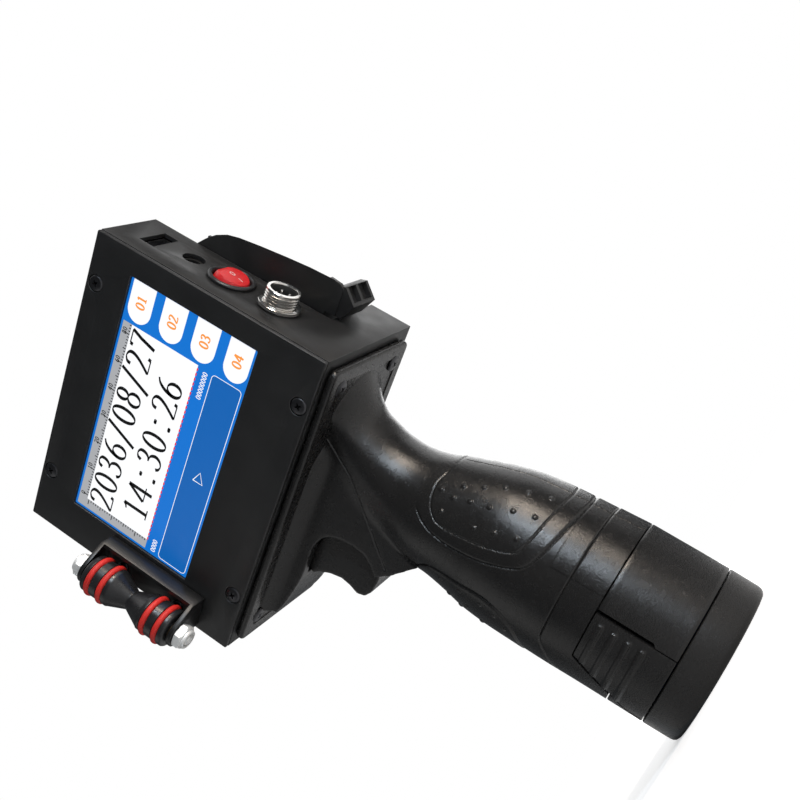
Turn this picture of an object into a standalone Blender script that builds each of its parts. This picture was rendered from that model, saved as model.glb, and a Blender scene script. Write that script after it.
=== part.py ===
"""Handheld date code inkjet printer.

A sheet-metal head with a touch screen, a cartridge bay and a guide roller stands on a pistol
handle. A battery pack plugs into the bottom of the handle, and the whole printer stands on it.

Frame: metres, +Z up, origin at the centre of the battery pack's flat base. The screen faces -Y,
the print end faces -X and the ports face +X. All sizes below are in millimetres.
"""
import math

import bmesh
import bpy
from mathutils import Matrix, Vector

MM = 0.001

# ---- driving dimensions, millimetres ---------------------------------------------------------
HEAD_X = (-84.0, 36.0)
HEAD_Y = (-29.0, 29.0)
HEAD_Z = (146.0, 242.0)
PANEL = 1.6                     # front panel thickness
SHEET = 1.5                     # case sheet thickness
GAP = 0.35                      # clearance between touching pieces
SCREEN_X = (-68.3, 26.8)        # visible screen, 95 x 54
SCREEN_Z = (170.4, 224.3)
FACE_SCREW_X = (-62.0, 17.5)
FACE_SCREW_Z = (150.2, 237.9)
ELECTRONICS_BACK = 1.0          # back of the electronics box, where the cartridge bay starts
BAY_END_X = 20.0                # rear end of the cartridge bay
BAY_FLOOR_Z = 163.0             # top of the full-depth block under the bay's rear end

USB_AT = (-12.2, 229.0)         # ports: (y, z) on the rear wall
DC_AT = (-11.3, 213.9)
SWITCH_AT = (-11.4, 197.3)
CONNECTOR_AT = (-11.5, 177.0)

CLAMP_PIVOT = (24.5, 226.0)     # (x, z)
CLAMP_Y = (1.7, 26.9)
COVER_SLOPE = 0.5               # fall of the cartridge lid's outer wall for each mm towards the back

FLANGE_X = (-81.0, 32.5)
FLANGE_Y = (-25.5, 25.5)
FLANGE_Z = (142.9, 145.7)
FLANGE_SCREW_X = (-72.0, 25.0)
FLANGE_SCREW_Y = (-18.0, 18.0)

WALL = 2.2                      # handle wall
WEB_HALF = 13.5                 # half thickness of the trigger housing
TRIGGER_PIVOT = (-44.0, 137.0)  # (x, z)
TRIGGER_HALF = 8.6

PACK_R = 27.3                   # battery pack outer radius
SLEEVE_R = 22.3
BORE_R = 20.4
PACK_SEAM_Z = 39.0              # joint line between grip and pack, at the back and sides
PACK_STEP_Z = 24.3              # the same line at the front, lower
PACK_TOP_Z = 70.4
CAP_TOP_Z = 12.0
CELL_R = 9.1
CELL_RING = 10.7                # distance of each cell from the axis
CELL_Z = (3.6, 68.6)
LATCH_X = (-19.5, 8.3)          # side latches, front and rear edges

ROLLER_AT = (-80.5, -40.0)      # (x, y) of the roller axis
ROLLER_Z = 181.6                # middle of the roller
ROLLER_R = 7.2
ORING_R = 6.9
ORING_WIRE = 1.1
ORING_AT = (-15.9, -10.3, 10.3, 15.9)
BRACKET_SCREW_DZ = (-13.0, 13.0)
BRACKET_SCREW_X = ROLLER_AT[0] + 1.0
ARM_INNER = 20.3                # distance of each bracket arm from the middle of the roller

# ---- scene and collections -------------------------------------------------------------------
for old in list(bpy.data.objects):
    bpy.data.objects.remove(old, do_unlink=True)


def collection(name):
    made = bpy.data.collections.new(name)
    bpy.context.scene.collection.children.link(made)
    return made


PARTS = collection("date_code_inkjet_printer")
CUTTERS = collection("cutters")


def material(name, colour, roughness, metallic=0.0):
    made = bpy.data.materials.new(name)
    made.use_nodes = True
    shader = made.node_tree.nodes["Principled BSDF"]
    shader.inputs["Base Color"].default_value = (*colour, 1.0)
    shader.inputs["Roughness"].default_value = roughness
    shader.inputs["Metallic"].default_value = metallic
    made.diffuse_color = (*colour, 1.0)
    return made


CASE_BLACK = material("powder_coated_case", (0.022, 0.022, 0.024), 0.5, 0.0)
HANDLE_BLACK = material("moulded_handle", (0.016, 0.016, 0.018), 0.35)
COVER_BLACK = material("cover_plastic", (0.02, 0.02, 0.022), 0.3)
SCREEN_BLUE = material("screen", (0.05, 0.2, 0.62), 0.15)
BOARD_GREEN = material("circuit_board", (0.02, 0.12, 0.05), 0.5)
CHROME = material("chrome", (0.75, 0.75, 0.76), 0.18, 1.0)
ZINC = material("zinc", (0.72, 0.73, 0.75), 0.35, 1.0)
BLACK_STEEL = material("black_steel", (0.03, 0.03, 0.03), 0.4, 1.0)
BRONZE = material("bronze", (0.42, 0.28, 0.12), 0.4, 1.0)
RED_PLASTIC = material("red_plastic", (0.7, 0.03, 0.03), 0.3)
RED_RUBBER = material("red_rubber", (0.66, 0.05, 0.04), 0.6)
GREY_PLASTIC = material("grey_plastic", (0.2, 0.2, 0.21), 0.5)
CELL_WRAP = material("cell_wrap", (0.06, 0.18, 0.4), 0.45)


# ---- shape helpers ---------------------------------------------------------------------------
def place(obj, mat, cutter=False):
    """Put an object in its collection and give it its material."""
    for users in obj.users_collection:
        users.objects.unlink(obj)
    if cutter:
        CUTTERS.objects.link(obj)
        obj.hide_render = True
        obj.display_type = 'WIRE'
        return obj
    PARTS.objects.link(obj)
    obj.data.materials.clear()
    obj.data.materials.append(mat)
    return obj


def mesh_object(name, bm):
    bmesh.ops.recalc_face_normals(bm, faces=bm.faces)
    mesh = bpy.data.meshes.new(name)
    bm.to_mesh(mesh)
    bm.free()
    return bpy.data.objects.new(name, mesh)


def box(name, lo, hi, mat=None, bevel=0.0, segments=1):
    """Axis-aligned box between two corners, in millimetres."""
    bm = bmesh.new()
    bmesh.ops.create_cube(bm, size=1.0)
    size = [(b - a) * MM for a, b in zip(lo, hi)]
    middle = [(a + b) / 2 * MM for a, b in zip(lo, hi)]
    bmesh.ops.scale(bm, vec=size, verts=bm.verts)
    bmesh.ops.translate(bm, vec=middle, verts=bm.verts)
    obj = place(mesh_object(name, bm), mat, cutter=mat is None)
    if bevel:
        rounding(obj, bevel, segments)
    return obj


def rounding(obj, width, segments=1, angle=40.0):
    mod = obj.modifiers.new("edges", 'BEVEL')
    mod.width = width * MM
    mod.segments = segments
    mod.limit_method = 'ANGLE'
    mod.angle_limit = math.radians(angle)
    mod.use_clamp_overlap = True
    return obj


OUTLINE_TURN = {
    'X': Matrix(((0, 0, 1), (1, 0, 0), (0, 1, 0))),   # local (x, y, z) -> world (z, x, y)
    'Y': Matrix(((1, 0, 0), (0, 0, -1), (0, 1, 0))),  # local (x, y, z) -> world (x, -z, y)
    'Z': Matrix.Identity(3),
}
ROD_TURN = {
    'X': OUTLINE_TURN['X'],
    'Y': Matrix(((0, 1, 0), (0, 0, 1), (1, 0, 0))),   # local (x, y, z) -> world (y, z, x)
    'Z': Matrix.Identity(3),
}


def rod(name, centre, radius, span, axis='Z', mat=None, sides=20, radius_top=None):
    """Cylinder or cone along an axis. centre is the pair of coordinates across that axis."""
    top = radius if radius_top is None else radius_top
    bm = bmesh.new()
    bmesh.ops.create_cone(bm, cap_ends=True, segments=sides, radius1=radius * MM,
                          radius2=top * MM, depth=(span[1] - span[0]) * MM)
    bmesh.ops.translate(bm, vec=(0, 0, (span[0] + span[1]) / 2 * MM), verts=bm.verts)
    bmesh.ops.transform(bm, matrix=ROD_TURN[axis].to_4x4(), verts=bm.verts)
    first, second = centre
    shift = {'X': (0, first, second), 'Y': (first, 0, second), 'Z': (first, second, 0)}[axis]
    bmesh.ops.translate(bm, vec=Vector(shift) * MM, verts=bm.verts)
    obj = place(mesh_object(name, bm), mat, cutter=mat is None)
    smooth(obj)
    return obj


def smooth(obj, angle=35.0):
    obj.data.shade_smooth()
    obj.data.set_sharp_from_angle(angle=math.radians(angle))
    return obj


def prism(name, outline, span, axis='Y', mat=None):
    """Flat outline extruded along an axis: (x, z) pairs along Y, (x, y) along Z, (y, z) along X."""
    curve = bpy.data.curves.new(name, 'CURVE')
    curve.dimensions = '2D'
    curve.fill_mode = 'BOTH'
    curve.extrude = (span[1] - span[0]) / 2 * MM
    spline = curve.splines.new('POLY')
    spline.points.add(len(outline) - 1)
    for point, (u, v) in zip(spline.points, outline):
        point.co = (u * MM, v * MM, 0, 1)
    spline.use_cyclic_u = True
    flat = bpy.data.objects.new(name + "_outline", curve)
    bpy.context.scene.collection.objects.link(flat)
    middle = (span[0] + span[1]) / 2 * MM
    shift = {'X': (middle, 0, 0), 'Y': (0, middle, 0), 'Z': (0, 0, middle)}[axis]
    seen = flat.evaluated_get(bpy.context.evaluated_depsgraph_get())
    mesh = bpy.data.meshes.new_from_object(seen)
    bpy.data.objects.remove(flat, do_unlink=True)
    bm = bmesh.new()
    bm.from_mesh(mesh)
    bpy.data.meshes.remove(mesh)
    bmesh.ops.remove_doubles(bm, verts=bm.verts, dist=1e-6)
    bmesh.ops.transform(bm, matrix=OUTLINE_TURN[axis].to_4x4(), verts=bm.verts)
    bmesh.ops.translate(bm, vec=shift, verts=bm.verts)
    return place(mesh_object(name, bm), mat, cutter=mat is None)


def arc(centre, radius, start, end, steps):
    """Points on an arc, angles in degrees."""
    points = []
    for i in range(steps + 1):
        turn = math.radians(start + (end - start) * i / steps)
        points.append((centre[0] + radius * math.cos(turn), centre[1] + radius * math.sin(turn)))
    return points


def turned(name, profile, at=(0.0, 0.0, 0.0), axis='Z', mat=None, steps=32):
    """Solid of revolution. profile is (radius, height) pairs, outer side top to bottom."""
    bm = bmesh.new()
    verts = [bm.verts.new((r * MM, 0, h * MM)) for r, h in profile]
    for first, second in zip(verts, verts[1:]):
        bm.edges.new((first, second))
    if profile[0][0] > 0 or profile[-1][0] > 0:
        bm.edges.new((verts[-1], verts[0]))
    mesh = bpy.data.meshes.new(name)
    bm.to_mesh(mesh)
    bm.free()
    obj = bpy.data.objects.new(name, mesh)
    place(obj, mat, cutter=mat is None)
    mod = obj.modifiers.new("turn", 'SCREW')
    mod.steps = steps
    mod.render_steps = steps
    mod.use_merge_vertices = True
    mod.merge_threshold = 1e-5
    obj.location = Vector(at) * MM
    if axis == 'X':
        obj.rotation_euler = (0, math.radians(90), 0)
    if axis == 'Y':
        obj.rotation_euler = (math.radians(90), 0, 0)
    return obj


def boolean(obj, other, operation):
    mod = obj.modifiers.new(operation.lower(), 'BOOLEAN')
    mod.operation = operation
    mod.solver = 'EXACT'
    mod.object = other
    return obj


def cut(obj, *cutters):
    for cutter in cutters:
        boolean(obj, cutter, 'DIFFERENCE')
    return obj


def join(obj, *others):
    for other in others:
        boolean(obj, other, 'UNION')
    return obj


def origin(obj, point):
    """Move an object's origin without moving its shape."""
    shift = Vector(point) * MM - obj.location
    obj.data.transform(Matrix.Translation(-shift))
    obj.location = Vector(point) * MM
    return obj


# ---- head: case, panel, screen ---------------------------------------------------------------
def main_case():
    x0, x1 = HEAD_X
    z0, z1 = HEAD_Z
    back = HEAD_Y[1]
    front = HEAD_Y[0] + PANEL + GAP
    case = box("main_case", (x0, front, z0), (x1, ELECTRONICS_BACK, z1), CASE_BLACK)
    join(case, box("case_bay", (x0, 0.0, z0), (BAY_END_X, back, z1)))
    join(case, box("case_heel", (BAY_END_X - 1, 0.0, z0), (x1, back, BAY_FLOOR_Z)))
    ear = box("case_ear", (BAY_END_X - 1, back - SHEET, 216.0), (28.5, back, 236.0))
    join(case, ear)
    electronics = box("case_hollow_electronics", (x0 + SHEET, front - 5, z0 + SHEET),
                      (x1 - SHEET, ELECTRONICS_BACK - SHEET, z1 - SHEET))
    bay = box("case_hollow_bay", (x0 + SHEET, -2.0, z0 + SHEET),
              (BAY_END_X - SHEET, back - SHEET, z1 - SHEET))
    heel = box("case_hollow_heel", (BAY_END_X - 3, 2.8, z0 + SHEET),
               (x1 - SHEET, back - SHEET, BAY_FLOOR_Z - SHEET))
    mouth = box("case_bay_mouth", (BAY_END_X - 3, 2.8, BAY_FLOOR_Z + 2), (BAY_END_X + 1, 27.2, 238.0))
    cut(case, electronics, bay, heel, mouth)
    for i, sx in enumerate(FACE_SCREW_X):
        for j, sz in enumerate(FACE_SCREW_Z):
            depth = (z0 + SHEET - 0.5, sz + 4.5) if j == 0 else (sz - 4.5, z1 - SHEET + 0.5)
            tab = box(f"case_tab_{i}{j}", (sx - 6, front, depth[0]), (sx + 6, front + SHEET, depth[1]))
            join(case, tab)
            cut(case, rod(f"case_tab_hole_{i}{j}", (sx, sz), 1.9, (front - 2, front + 4), 'Y'))
    usb = box("usb_window", (x1 - 3, USB_AT[0] - 6.9, USB_AT[1] - 3.2),
              (x1 + 1, USB_AT[0] + 6.9, USB_AT[1] + 3.2))
    cut(case, usb)
    for name, at, radius in (("dc_window", DC_AT, 4.1), ("switch_window", SWITCH_AT, 7.9),
                             ("connector_window", CONNECTOR_AT, 6.4)):
        cut(case, rod(name, at, radius, (x1 - 3, x1 + 1), 'X'))
    print_window = box("print_window", (x0 - 1, 4.5, 166.5), (x0 + 3, 25.5, 201.5))
    cable_hole = rod("case_cable_hole", (-6.0, -7.0), 6.0, (z0 - 1, z0 + 3), 'Z')
    pivot_hole = rod("case_pivot_hole", CLAMP_PIVOT, 1.85, (-3.0, back + 1), 'Y')
    cut(case, print_window, cable_hole, pivot_hole)
    for i, sx in enumerate(FLANGE_SCREW_X):
        for j, sy in enumerate(FLANGE_SCREW_Y):
            cut(case, rod(f"case_flange_hole_{i}{j}", (sx, sy), 1.9, (z0 - 1, z0 + 3), 'Z'))


def countersunk_screw(name, at, axis, into, length, mat, head=2.8, shank=1.4):
    """Screw with its head at point at, pointing along into (+1 or -1) on the axis."""
    sink = head - shank
    profile = [(0.0, 0.0), (head, 0.0), (head, -0.35), (shank, -0.35 - sink),
               (shank, -length + 0.6), (shank - 0.6, -length), (0.0, -length)]
    screw = turned(name, profile, (0, 0, 0), 'Z', mat, steps=12)
    cross_a = box(name + "_cross_a", (-head * 0.55, -0.3, -0.9), (head * 0.55, 0.3, 0.5))
    cross_b = box(name + "_cross_b", (-0.3, -head * 0.55, -0.9), (0.3, head * 0.55, 0.5))
    turns = {('Y', 1): (math.radians(90), 0, 0), ('Z', 1): (math.radians(180), 0, 0)}
    cut(screw, cross_a, cross_b)
    for piece in (screw, cross_a, cross_b):
        piece.location = Vector(at) * MM
        piece.rotation_euler = turns[(axis, into)]
    return screw


def front_panel():
    x0, x1 = HEAD_X
    y0 = HEAD_Y[0]
    panel = box("front_panel", (x0, y0, HEAD_Z[0]), (x1, y0 + PANEL, HEAD_Z[1]), CASE_BLACK)
    window = box("screen_window", (SCREEN_X[0] - GAP, y0 - 2, SCREEN_Z[0] - GAP),
                 (SCREEN_X[1] + GAP, y0 + 4, SCREEN_Z[1] + GAP))
    cut(panel, window)
    number = 0
    for sx in FACE_SCREW_X:
        for sz in FACE_SCREW_Z:
            number += 1
            hole = rod(f"panel_hole_{number}", (sx, sz), 1.9, (y0 - 1, y0 + 4), 'Y')
            sink = rod(f"panel_sink_{number}", (sx, sz), 3.8, (y0 - 0.2, y0 + 1.5), 'Y',
                       radius_top=1.9)
            cut(panel, hole, sink)
            countersunk_screw(f"face_screw_{number}", (sx, y0 + 0.05, sz), 'Y', 1, 7.0, BLACK_STEEL)
    for i, dz in enumerate(BRACKET_SCREW_DZ):
        cut(panel, rod(f"panel_bracket_hole_{i}", (BRACKET_SCREW_X, ROLLER_Z + dz), 1.6,
                       (y0 - 1, y0 + 4), 'Y'))


def screen():
    y0 = HEAD_Y[0]
    box("screen_glass", (SCREEN_X[0], y0 + 0.7, SCREEN_Z[0]),
        (SCREEN_X[1], y0 + PANEL + 0.1, SCREEN_Z[1]), SCREEN_BLUE)
    frame = 4.6
    box("lcd_module", (SCREEN_X[0] - frame, y0 + PANEL + 0.45, SCREEN_Z[0] - frame),
        (SCREEN_X[1] + frame, y0 + PANEL + 4.6, SCREEN_Z[1] + frame), GREY_PLASTIC)
    board = box("main_board", (-70.0, -19.0, 158.0), (14.0, -17.4, 232.0), BOARD_GREEN)
    chip = box("board_chip", (-48.0, -17.9, 186.0), (-30.0, -15.4, 204.0))
    plug = box("board_plug", (-14.0, -17.9, 160.0), (-2.0, -11.0, 166.0))
    sink = box("board_inductor", (-14.0, -17.9, 206.0), (-2.0, -12.0, 218.0))
    join(board, chip, plug, sink)


# ---- rear ports ------------------------------------------------------------------------------
def ports():
    wall = HEAD_X[1] - SHEET - GAP
    y, z = USB_AT
    usb = box("usb_socket", (wall - 14.0, y - 6.55, z - 2.85), (wall, y + 6.55, z + 2.85), ZINC)
    hollow = box("usb_hollow", (wall - 12.5, y - 6.1, z - 2.4), (wall + 1, y + 6.1, z + 2.4))
    tongue = box("usb_tongue", (wall - 13.0, y - 5.5, z + 0.1), (wall - 2.0, y + 5.5, z + 1.9))
    cut(usb, hollow)
    join(usb, tongue)

    y, z = DC_AT
    jack = box("dc_jack", (wall - 13.0, y - 5.0, z - 5.4), (wall, y + 5.0, z + 5.4), COVER_BLACK)
    bore = rod("dc_bore", DC_AT, 3.0, (wall - 10.0, wall + 1), 'X')
    pin = rod("dc_pin", DC_AT, 0.95, (wall - 11.0, wall - 1.0), 'X', sides=12)
    cut(jack, bore)
    join(jack, pin)

    y, z = SWITCH_AT
    out = HEAD_X[1]
    turned("switch_housing", [(0.0, -9.0), (6.9, -9.0), (7.4, 1.7), (7.9, 2.0), (8.6, 1.2),
                              (8.6, 0.3), (7.55, 0.3), (7.55, -12.0), (0.0, -12.0)],
           (out, y, z), 'X', COVER_BLACK, steps=32)

    turned("connector_shell",
           [(5.0, 6.8), (5.8, 6.8), (6.0, 6.5), (6.0, 1.8), (7.5, 1.8), (7.5, 0.3),
            (6.0, 0.3), (6.0, -13.0), (5.0, -13.0)],
           (out, *CONNECTOR_AT), 'X', CHROME, steps=32)
    insert = rod("connector_insert", CONNECTOR_AT, 4.65, (out - 12.5, out + 3.4), 'X', COVER_BLACK)
    for i in range(4):
        turn = math.radians(45 + 90 * i)
        at = (CONNECTOR_AT[0] + 2.3 * math.cos(turn), CONNECTOR_AT[1] + 2.3 * math.sin(turn))
        join(insert, rod(f"connector_pin_{i}", at, 0.55, (out + 2.0, out + 5.6), 'X', sides=10))
    nut = rod("connector_nut", CONNECTOR_AT, 8.6, (out - SHEET - 3.0, out - SHEET - GAP), 'X', ZINC,
              sides=6)
    cut(nut, rod("connector_nut_bore", CONNECTOR_AT, 6.35, (out - 6, out + 1), 'X'))


def switch_rocker():
    """Rocker at rest: tilted so that its lower end is flush and its upper end stands out."""
    y, z = SWITCH_AT
    pivot_x = HEAD_X[1] - 1.6
    tilt = math.radians(10.0)
    half = 6.2
    crown = 2.3
    rise = half * math.tan(tilt)
    outline = [(crown, 0.0), (crown + rise, half), (-1.0, half), (-4.5, 2.4), (-4.5, -2.4),
               (-1.0, -half), (crown + rise, -half)]
    turned_outline = []
    for out, up in outline:
        turned_outline.append((pivot_x + out * math.cos(tilt) + up * math.sin(tilt),
                               z - out * math.sin(tilt) + up * math.cos(tilt)))
    rocker = prism("switch_rocker", turned_outline, (y - 4.9, y + 4.9), 'Y', RED_PLASTIC)
    boolean(rocker, rod("rocker_round", SWITCH_AT, 6.35, (pivot_x - 8, pivot_x + 9), 'X', sides=32),
            'INTERSECT')
    origin(rocker, (pivot_x, y, z))


# ---- cartridge bay ---------------------------------------------------------------------------
def cartridge_bay():
    box("bay_divider", (HEAD_X[0] + SHEET + GAP, 0.2, HEAD_Z[0] + SHEET + GAP),
        (BAY_END_X - SHEET - GAP, 1.6, HEAD_Z[1] - SHEET - GAP), CASE_BLACK)
    holder = box("cartridge_holder", (-79.0, 2.3, 159.5), (16.0, 26.9, 236.5), GREY_PLASTIC)
    pocket = box("holder_pocket", (-63.0, 4.0, 163.5), (20.0, 25.4, 232.5))
    snout_way = box("holder_snout_way", (-82.0, 5.4, 167.4), (-60.0, 24.6, 200.6))
    cut(holder, pocket, snout_way)

    cartridge = box("ink_cartridge", (-62.0, 4.5, 164.0), (17.0, 24.9, 232.0), COVER_BLACK)
    snout = box("cartridge_snout", (-83.6, 6.0, 168.0), (-61.0, 24.0, 200.0))
    cap = box("cartridge_cap", (16.0, 6.5, 176.0), (28.5, 23.0, 212.0))
    join(cartridge, snout, cap)

    x0 = HEAD_X[0]
    plate = box("nose_plate", (x0 - 1.8, 3.0, 163.0), (x0 - GAP, 27.0, 205.0), ZINC)
    cut(plate, box("nose_window", (x0 - 3, 6.5, 168.5), (x0 + 1, 23.5, 199.5)))


def clamp_cover():
    px, pz = CLAMP_PIVOT
    y0, y1 = CLAMP_Y
    wall = 1.5
    crown = [(49.1, 167.0), (48.7, 177.0), (47.8, 187.0), (46.6, 198.0), (45.4, 207.0),
             (44.2, 212.0), (42.0, 216.4), (39.0, 219.9), (35.8, 222.8), (31.5, 226.0)]
    outline = [(21.3, 167.0)] + crown
    outline += [(px, pz + 3.1), (px - 2.2, pz + 2.2), (21.3, pz - 1.0)]
    cover = prism("clamp_cover", outline, (y0, y1), 'Y', COVER_BLACK)
    hollow_outline = [(15.0, 168.6), (crown[0][0] - wall, 168.6)]
    hollow_outline += [(x - wall, z - wall * 0.6) for x, z in crown[1:-1]]
    hollow_outline += [(15.0, crown[-1][1] - wall * 1.6)]
    hollow = prism("clamp_hollow", hollow_outline, (y0 + wall, y1 - wall), 'Y')
    cut(cover, hollow)
    # the outer wall slopes down from the lid's tall side towards the head's back
    for v in cover.data.vertices:
        reach = min(max((v.co.x / MM - 28.0) / 14.0, 0.0), 1.0)
        v.co.x -= COVER_SLOPE * (v.co.y - y0 * MM) * reach
    cheek = prism("clamp_cheek", [(37.2, 169.0), (37.2, 162.8), (47.4, 162.8), (48.6, 164.6),
                                  (49.0, 169.0)], (y0, y0 + 1.6), 'Y')
    tab = prism("clamp_tab", [(37.2, 168.0), (37.2, 160.6), (43.4, 157.3), (48.4, 162.5),
                              (47.6, 165.0), (44.0, 168.0)], (y0 + 0.4, 17.0), 'Y')
    join(cover, cheek, tab)
    for low, high in ((3.6, 8.6), (10.0, 15.6)):
        pocket = prism("clamp_tab_pocket", [(43.0, 159.8), (45.6, 156.6), (49.6, 160.8), (47.0, 164.0)],
                       (low, high), 'Y')
        cut(cover, pocket)
    cut(cover, rod("clamp_pin_hole", CLAMP_PIVOT, 1.85, (y0 - 1, y1 + 1), 'Y'))
    origin(cover, (px, (y0 + y1) / 2, pz))
    rod("clamp_pin", CLAMP_PIVOT, 1.5, (-0.4, HEAD_Y[1] - 0.1), 'Y', ZINC, sides=20)


# ---- guide roller ----------------------------------------------------------------------------
def roller():
    x, y = ROLLER_AT
    z = ROLLER_Z
    y0 = HEAD_Y[0] - GAP
    sheet = SHEET
    web_x = (x + 8.9, x + 8.9 + sheet)
    bracket = box("roller_bracket", (web_x[0], y0 - 6.6, z - ARM_INNER - sheet),
                  (web_x[1], y0, z + ARM_INNER + sheet), CASE_BLACK)
    foot = box("bracket_foot", (x - 2.5, y0 - sheet, z - ARM_INNER - sheet),
               (web_x[1], y0, z + ARM_INNER + sheet))
    join(bracket, foot)
    for side in (-1, 1):
        span = sorted((z + side * ARM_INNER, z + side * (ARM_INNER + sheet)))
        outline = [(web_x[1], y0), (web_x[1], y0 - 6.6), (x + 4.4, y - 3.4)]
        outline += arc((x, y), 5.4, -50.0, -180.0, 8)
        outline += [(x - 2.5, y0)]
        join(bracket, prism(f"bracket_arm_{side}", outline, span, 'Z'))
    cut(bracket, rod("bracket_bore", ROLLER_AT, 2.3, (z - 30, z + 30), 'Z'))
    for i, dz in enumerate(BRACKET_SCREW_DZ):
        at = (BRACKET_SCREW_X, z + dz)
        hole = rod(f"bracket_hole_{i}", at, 1.6, (y0 - 5, y0 + 1), 'Y')
        sink = rod(f"bracket_sink_{i}", at, 3.1, (y0 - sheet - 0.2, y0 - sheet + 1.4), 'Y',
                   radius_top=1.6)
        cut(bracket, hole, sink)
        countersunk_screw(f"bracket_screw_{i + 1}", (at[0], y0 - sheet + 0.05, at[1]), 'Y', 1, 5.0,
                          BLACK_STEEL, head=2.2, shank=1.2)
    rod("roller_shaft", ROLLER_AT, 2.0, (z - 27.5, z + 27.5), 'Z', ZINC, sides=20)

    groove = ORING_WIRE + 0.3
    half = 19.4
    upper = [(3.9, half), (6.7, half), (ROLLER_R, half - 0.5)]
    for height in (ORING_AT[3], ORING_AT[2]):
        upper += [(ROLLER_R, height + groove), (5.45, height + groove),
                  (5.45, height - groove), (ROLLER_R, height - groove)]
    upper += [(ROLLER_R, 7.6), (3.9, 0.9)]
    lower = [(r, -h) for r, h in reversed(upper)]
    bore = [(3.9, -13.4), (2.5, -13.4), (2.5, 13.4), (3.9, 13.4)]
    core = turned("roller_core", upper + lower + bore, (x, y, z), 'Z', HANDLE_BLACK, steps=22)
    smooth(core, 30)
    for name, side in (("roller_bush_lower", -1), ("roller_bush_upper", 1)):
        ends = sorted((side * 19.4, side * 13.75))
        turned(name, [(2.3, ends[1]), (3.6, ends[1]), (3.6, ends[0]), (2.3, ends[0])],
               (x, y, z), 'Z', BRONZE, steps=24)
    for i, height in enumerate(ORING_AT):
        ring = [(ORING_R + ORING_WIRE * math.cos(math.radians(a)),
                 height + ORING_WIRE * math.sin(math.radians(a))) for a in range(120, -240, -60)]
        turned(f"o_ring_{i + 1}", ring, (x, y, z), 'Z', RED_RUBBER, steps=22)
    for name, side in (("shaft_nut_lower", -1), ("shaft_nut_upper", 1)):
        ends = sorted((side * 22.15, side * 26.4))
        nut = rod(name, ROLLER_AT, 4.6, (z + ends[0], z + ends[1]), 'Z', ZINC, sides=6)
        cut(nut, rod(name + "_bore", ROLLER_AT, 2.3, (z + ends[0] - 1, z + ends[1] + 1), 'Z'))


# ---- handle ----------------------------------------------------------------------------------
# Grip sections: height, forward shift of the centre, half width across X, half width across Y
GRIP = [(142.55, 0.0, 24.5, 19.0), (139.5, -0.6, 20.6, 17.6), (136.0, -1.8, 18.4, 16.9),
        (129.0, -3.6, 17.2, 16.5), (121.0, -4.9, 16.8, 16.4), (113.0, -5.5, 17.6, 17.1),
        (106.0, -5.3, 19.3, 18.4), (100.0, -4.4, 20.8, 19.8), (94.0, -3.3, 21.9, 21.1),
        (86.0, -2.4, 23.8, 22.8), (78.0, -2.0, 25.6, 24.7), (70.0, -1.7, 26.4, 25.8),
        (58.0, -1.2, 26.9, 26.6), (46.0, -0.8, 27.2, 27.0), (36.0, -0.3, 27.3, 27.3),
        (20.0, 0.0, PACK_R, PACK_R)]
GRIP_SIDES = 36


def grip_solid(name, inset=0.0, stretch=0.0):
    """Loft through the grip sections, made smaller by inset and longer by stretch at both ends."""
    bm = bmesh.new()
    rings = []
    for i, (height, shift, half_x, half_y) in enumerate(GRIP):
        if i == 0:
            height += stretch
        if i == len(GRIP) - 1:
            height -= stretch
        ring = []
        for k in range(GRIP_SIDES):
            turn = 2 * math.pi * k / GRIP_SIDES
            ring.append(bm.verts.new(((shift + (half_x - inset) * math.cos(turn)) * MM,
                                      (half_y - inset) * math.sin(turn) * MM, height * MM)))
        rings.append(ring)
    for upper, lower in zip(rings, rings[1:]):
        for k in range(GRIP_SIDES):
            after = (k + 1) % GRIP_SIDES
            bm.faces.new((upper[k], lower[k], lower[after], upper[after]))
    bm.faces.new(rings[0])
    bm.faces.new(list(reversed(rings[-1])))
    return place(mesh_object(name, bm), None, cutter=True)


def housing_outline(inset=0.0, top=142.5):
    """Trigger housing seen from the side: a nose under the flange and an arched slot edge."""
    i = inset
    return [(-8.0, top), (-71.0 + i, top), (-70.0 + i, 138.6 + i), (-64.0, 136.6 + i),
            (-51.7, 134.4 + i), (-37.0, 134.6 + i), (-32.0 + i, 132.7 + i), (-29.0 + i, 128.3),
            (-27.9 + i, 122.0), (-28.6 + i, 116.0), (-33.0 + i, 110.4 + i), (-29.3 + i, 105.0),
            (-21.0, 98.6), (-8.0, 98.6)]


def below_seam(name, drop):
    """Everything under the stepped joint line between grip and pack, moved down by drop."""
    top = PACK_SEAM_Z - drop
    step = PACK_STEP_Z - drop
    return prism(name, [(40.0, top), (-8.5 + drop * 0.5, top), (-15.8 + drop * 0.5, step),
                        (-40.0, step), (-40.0, -10.0), (40.0, -10.0)], (-40.0, 40.0), 'Y')


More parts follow.
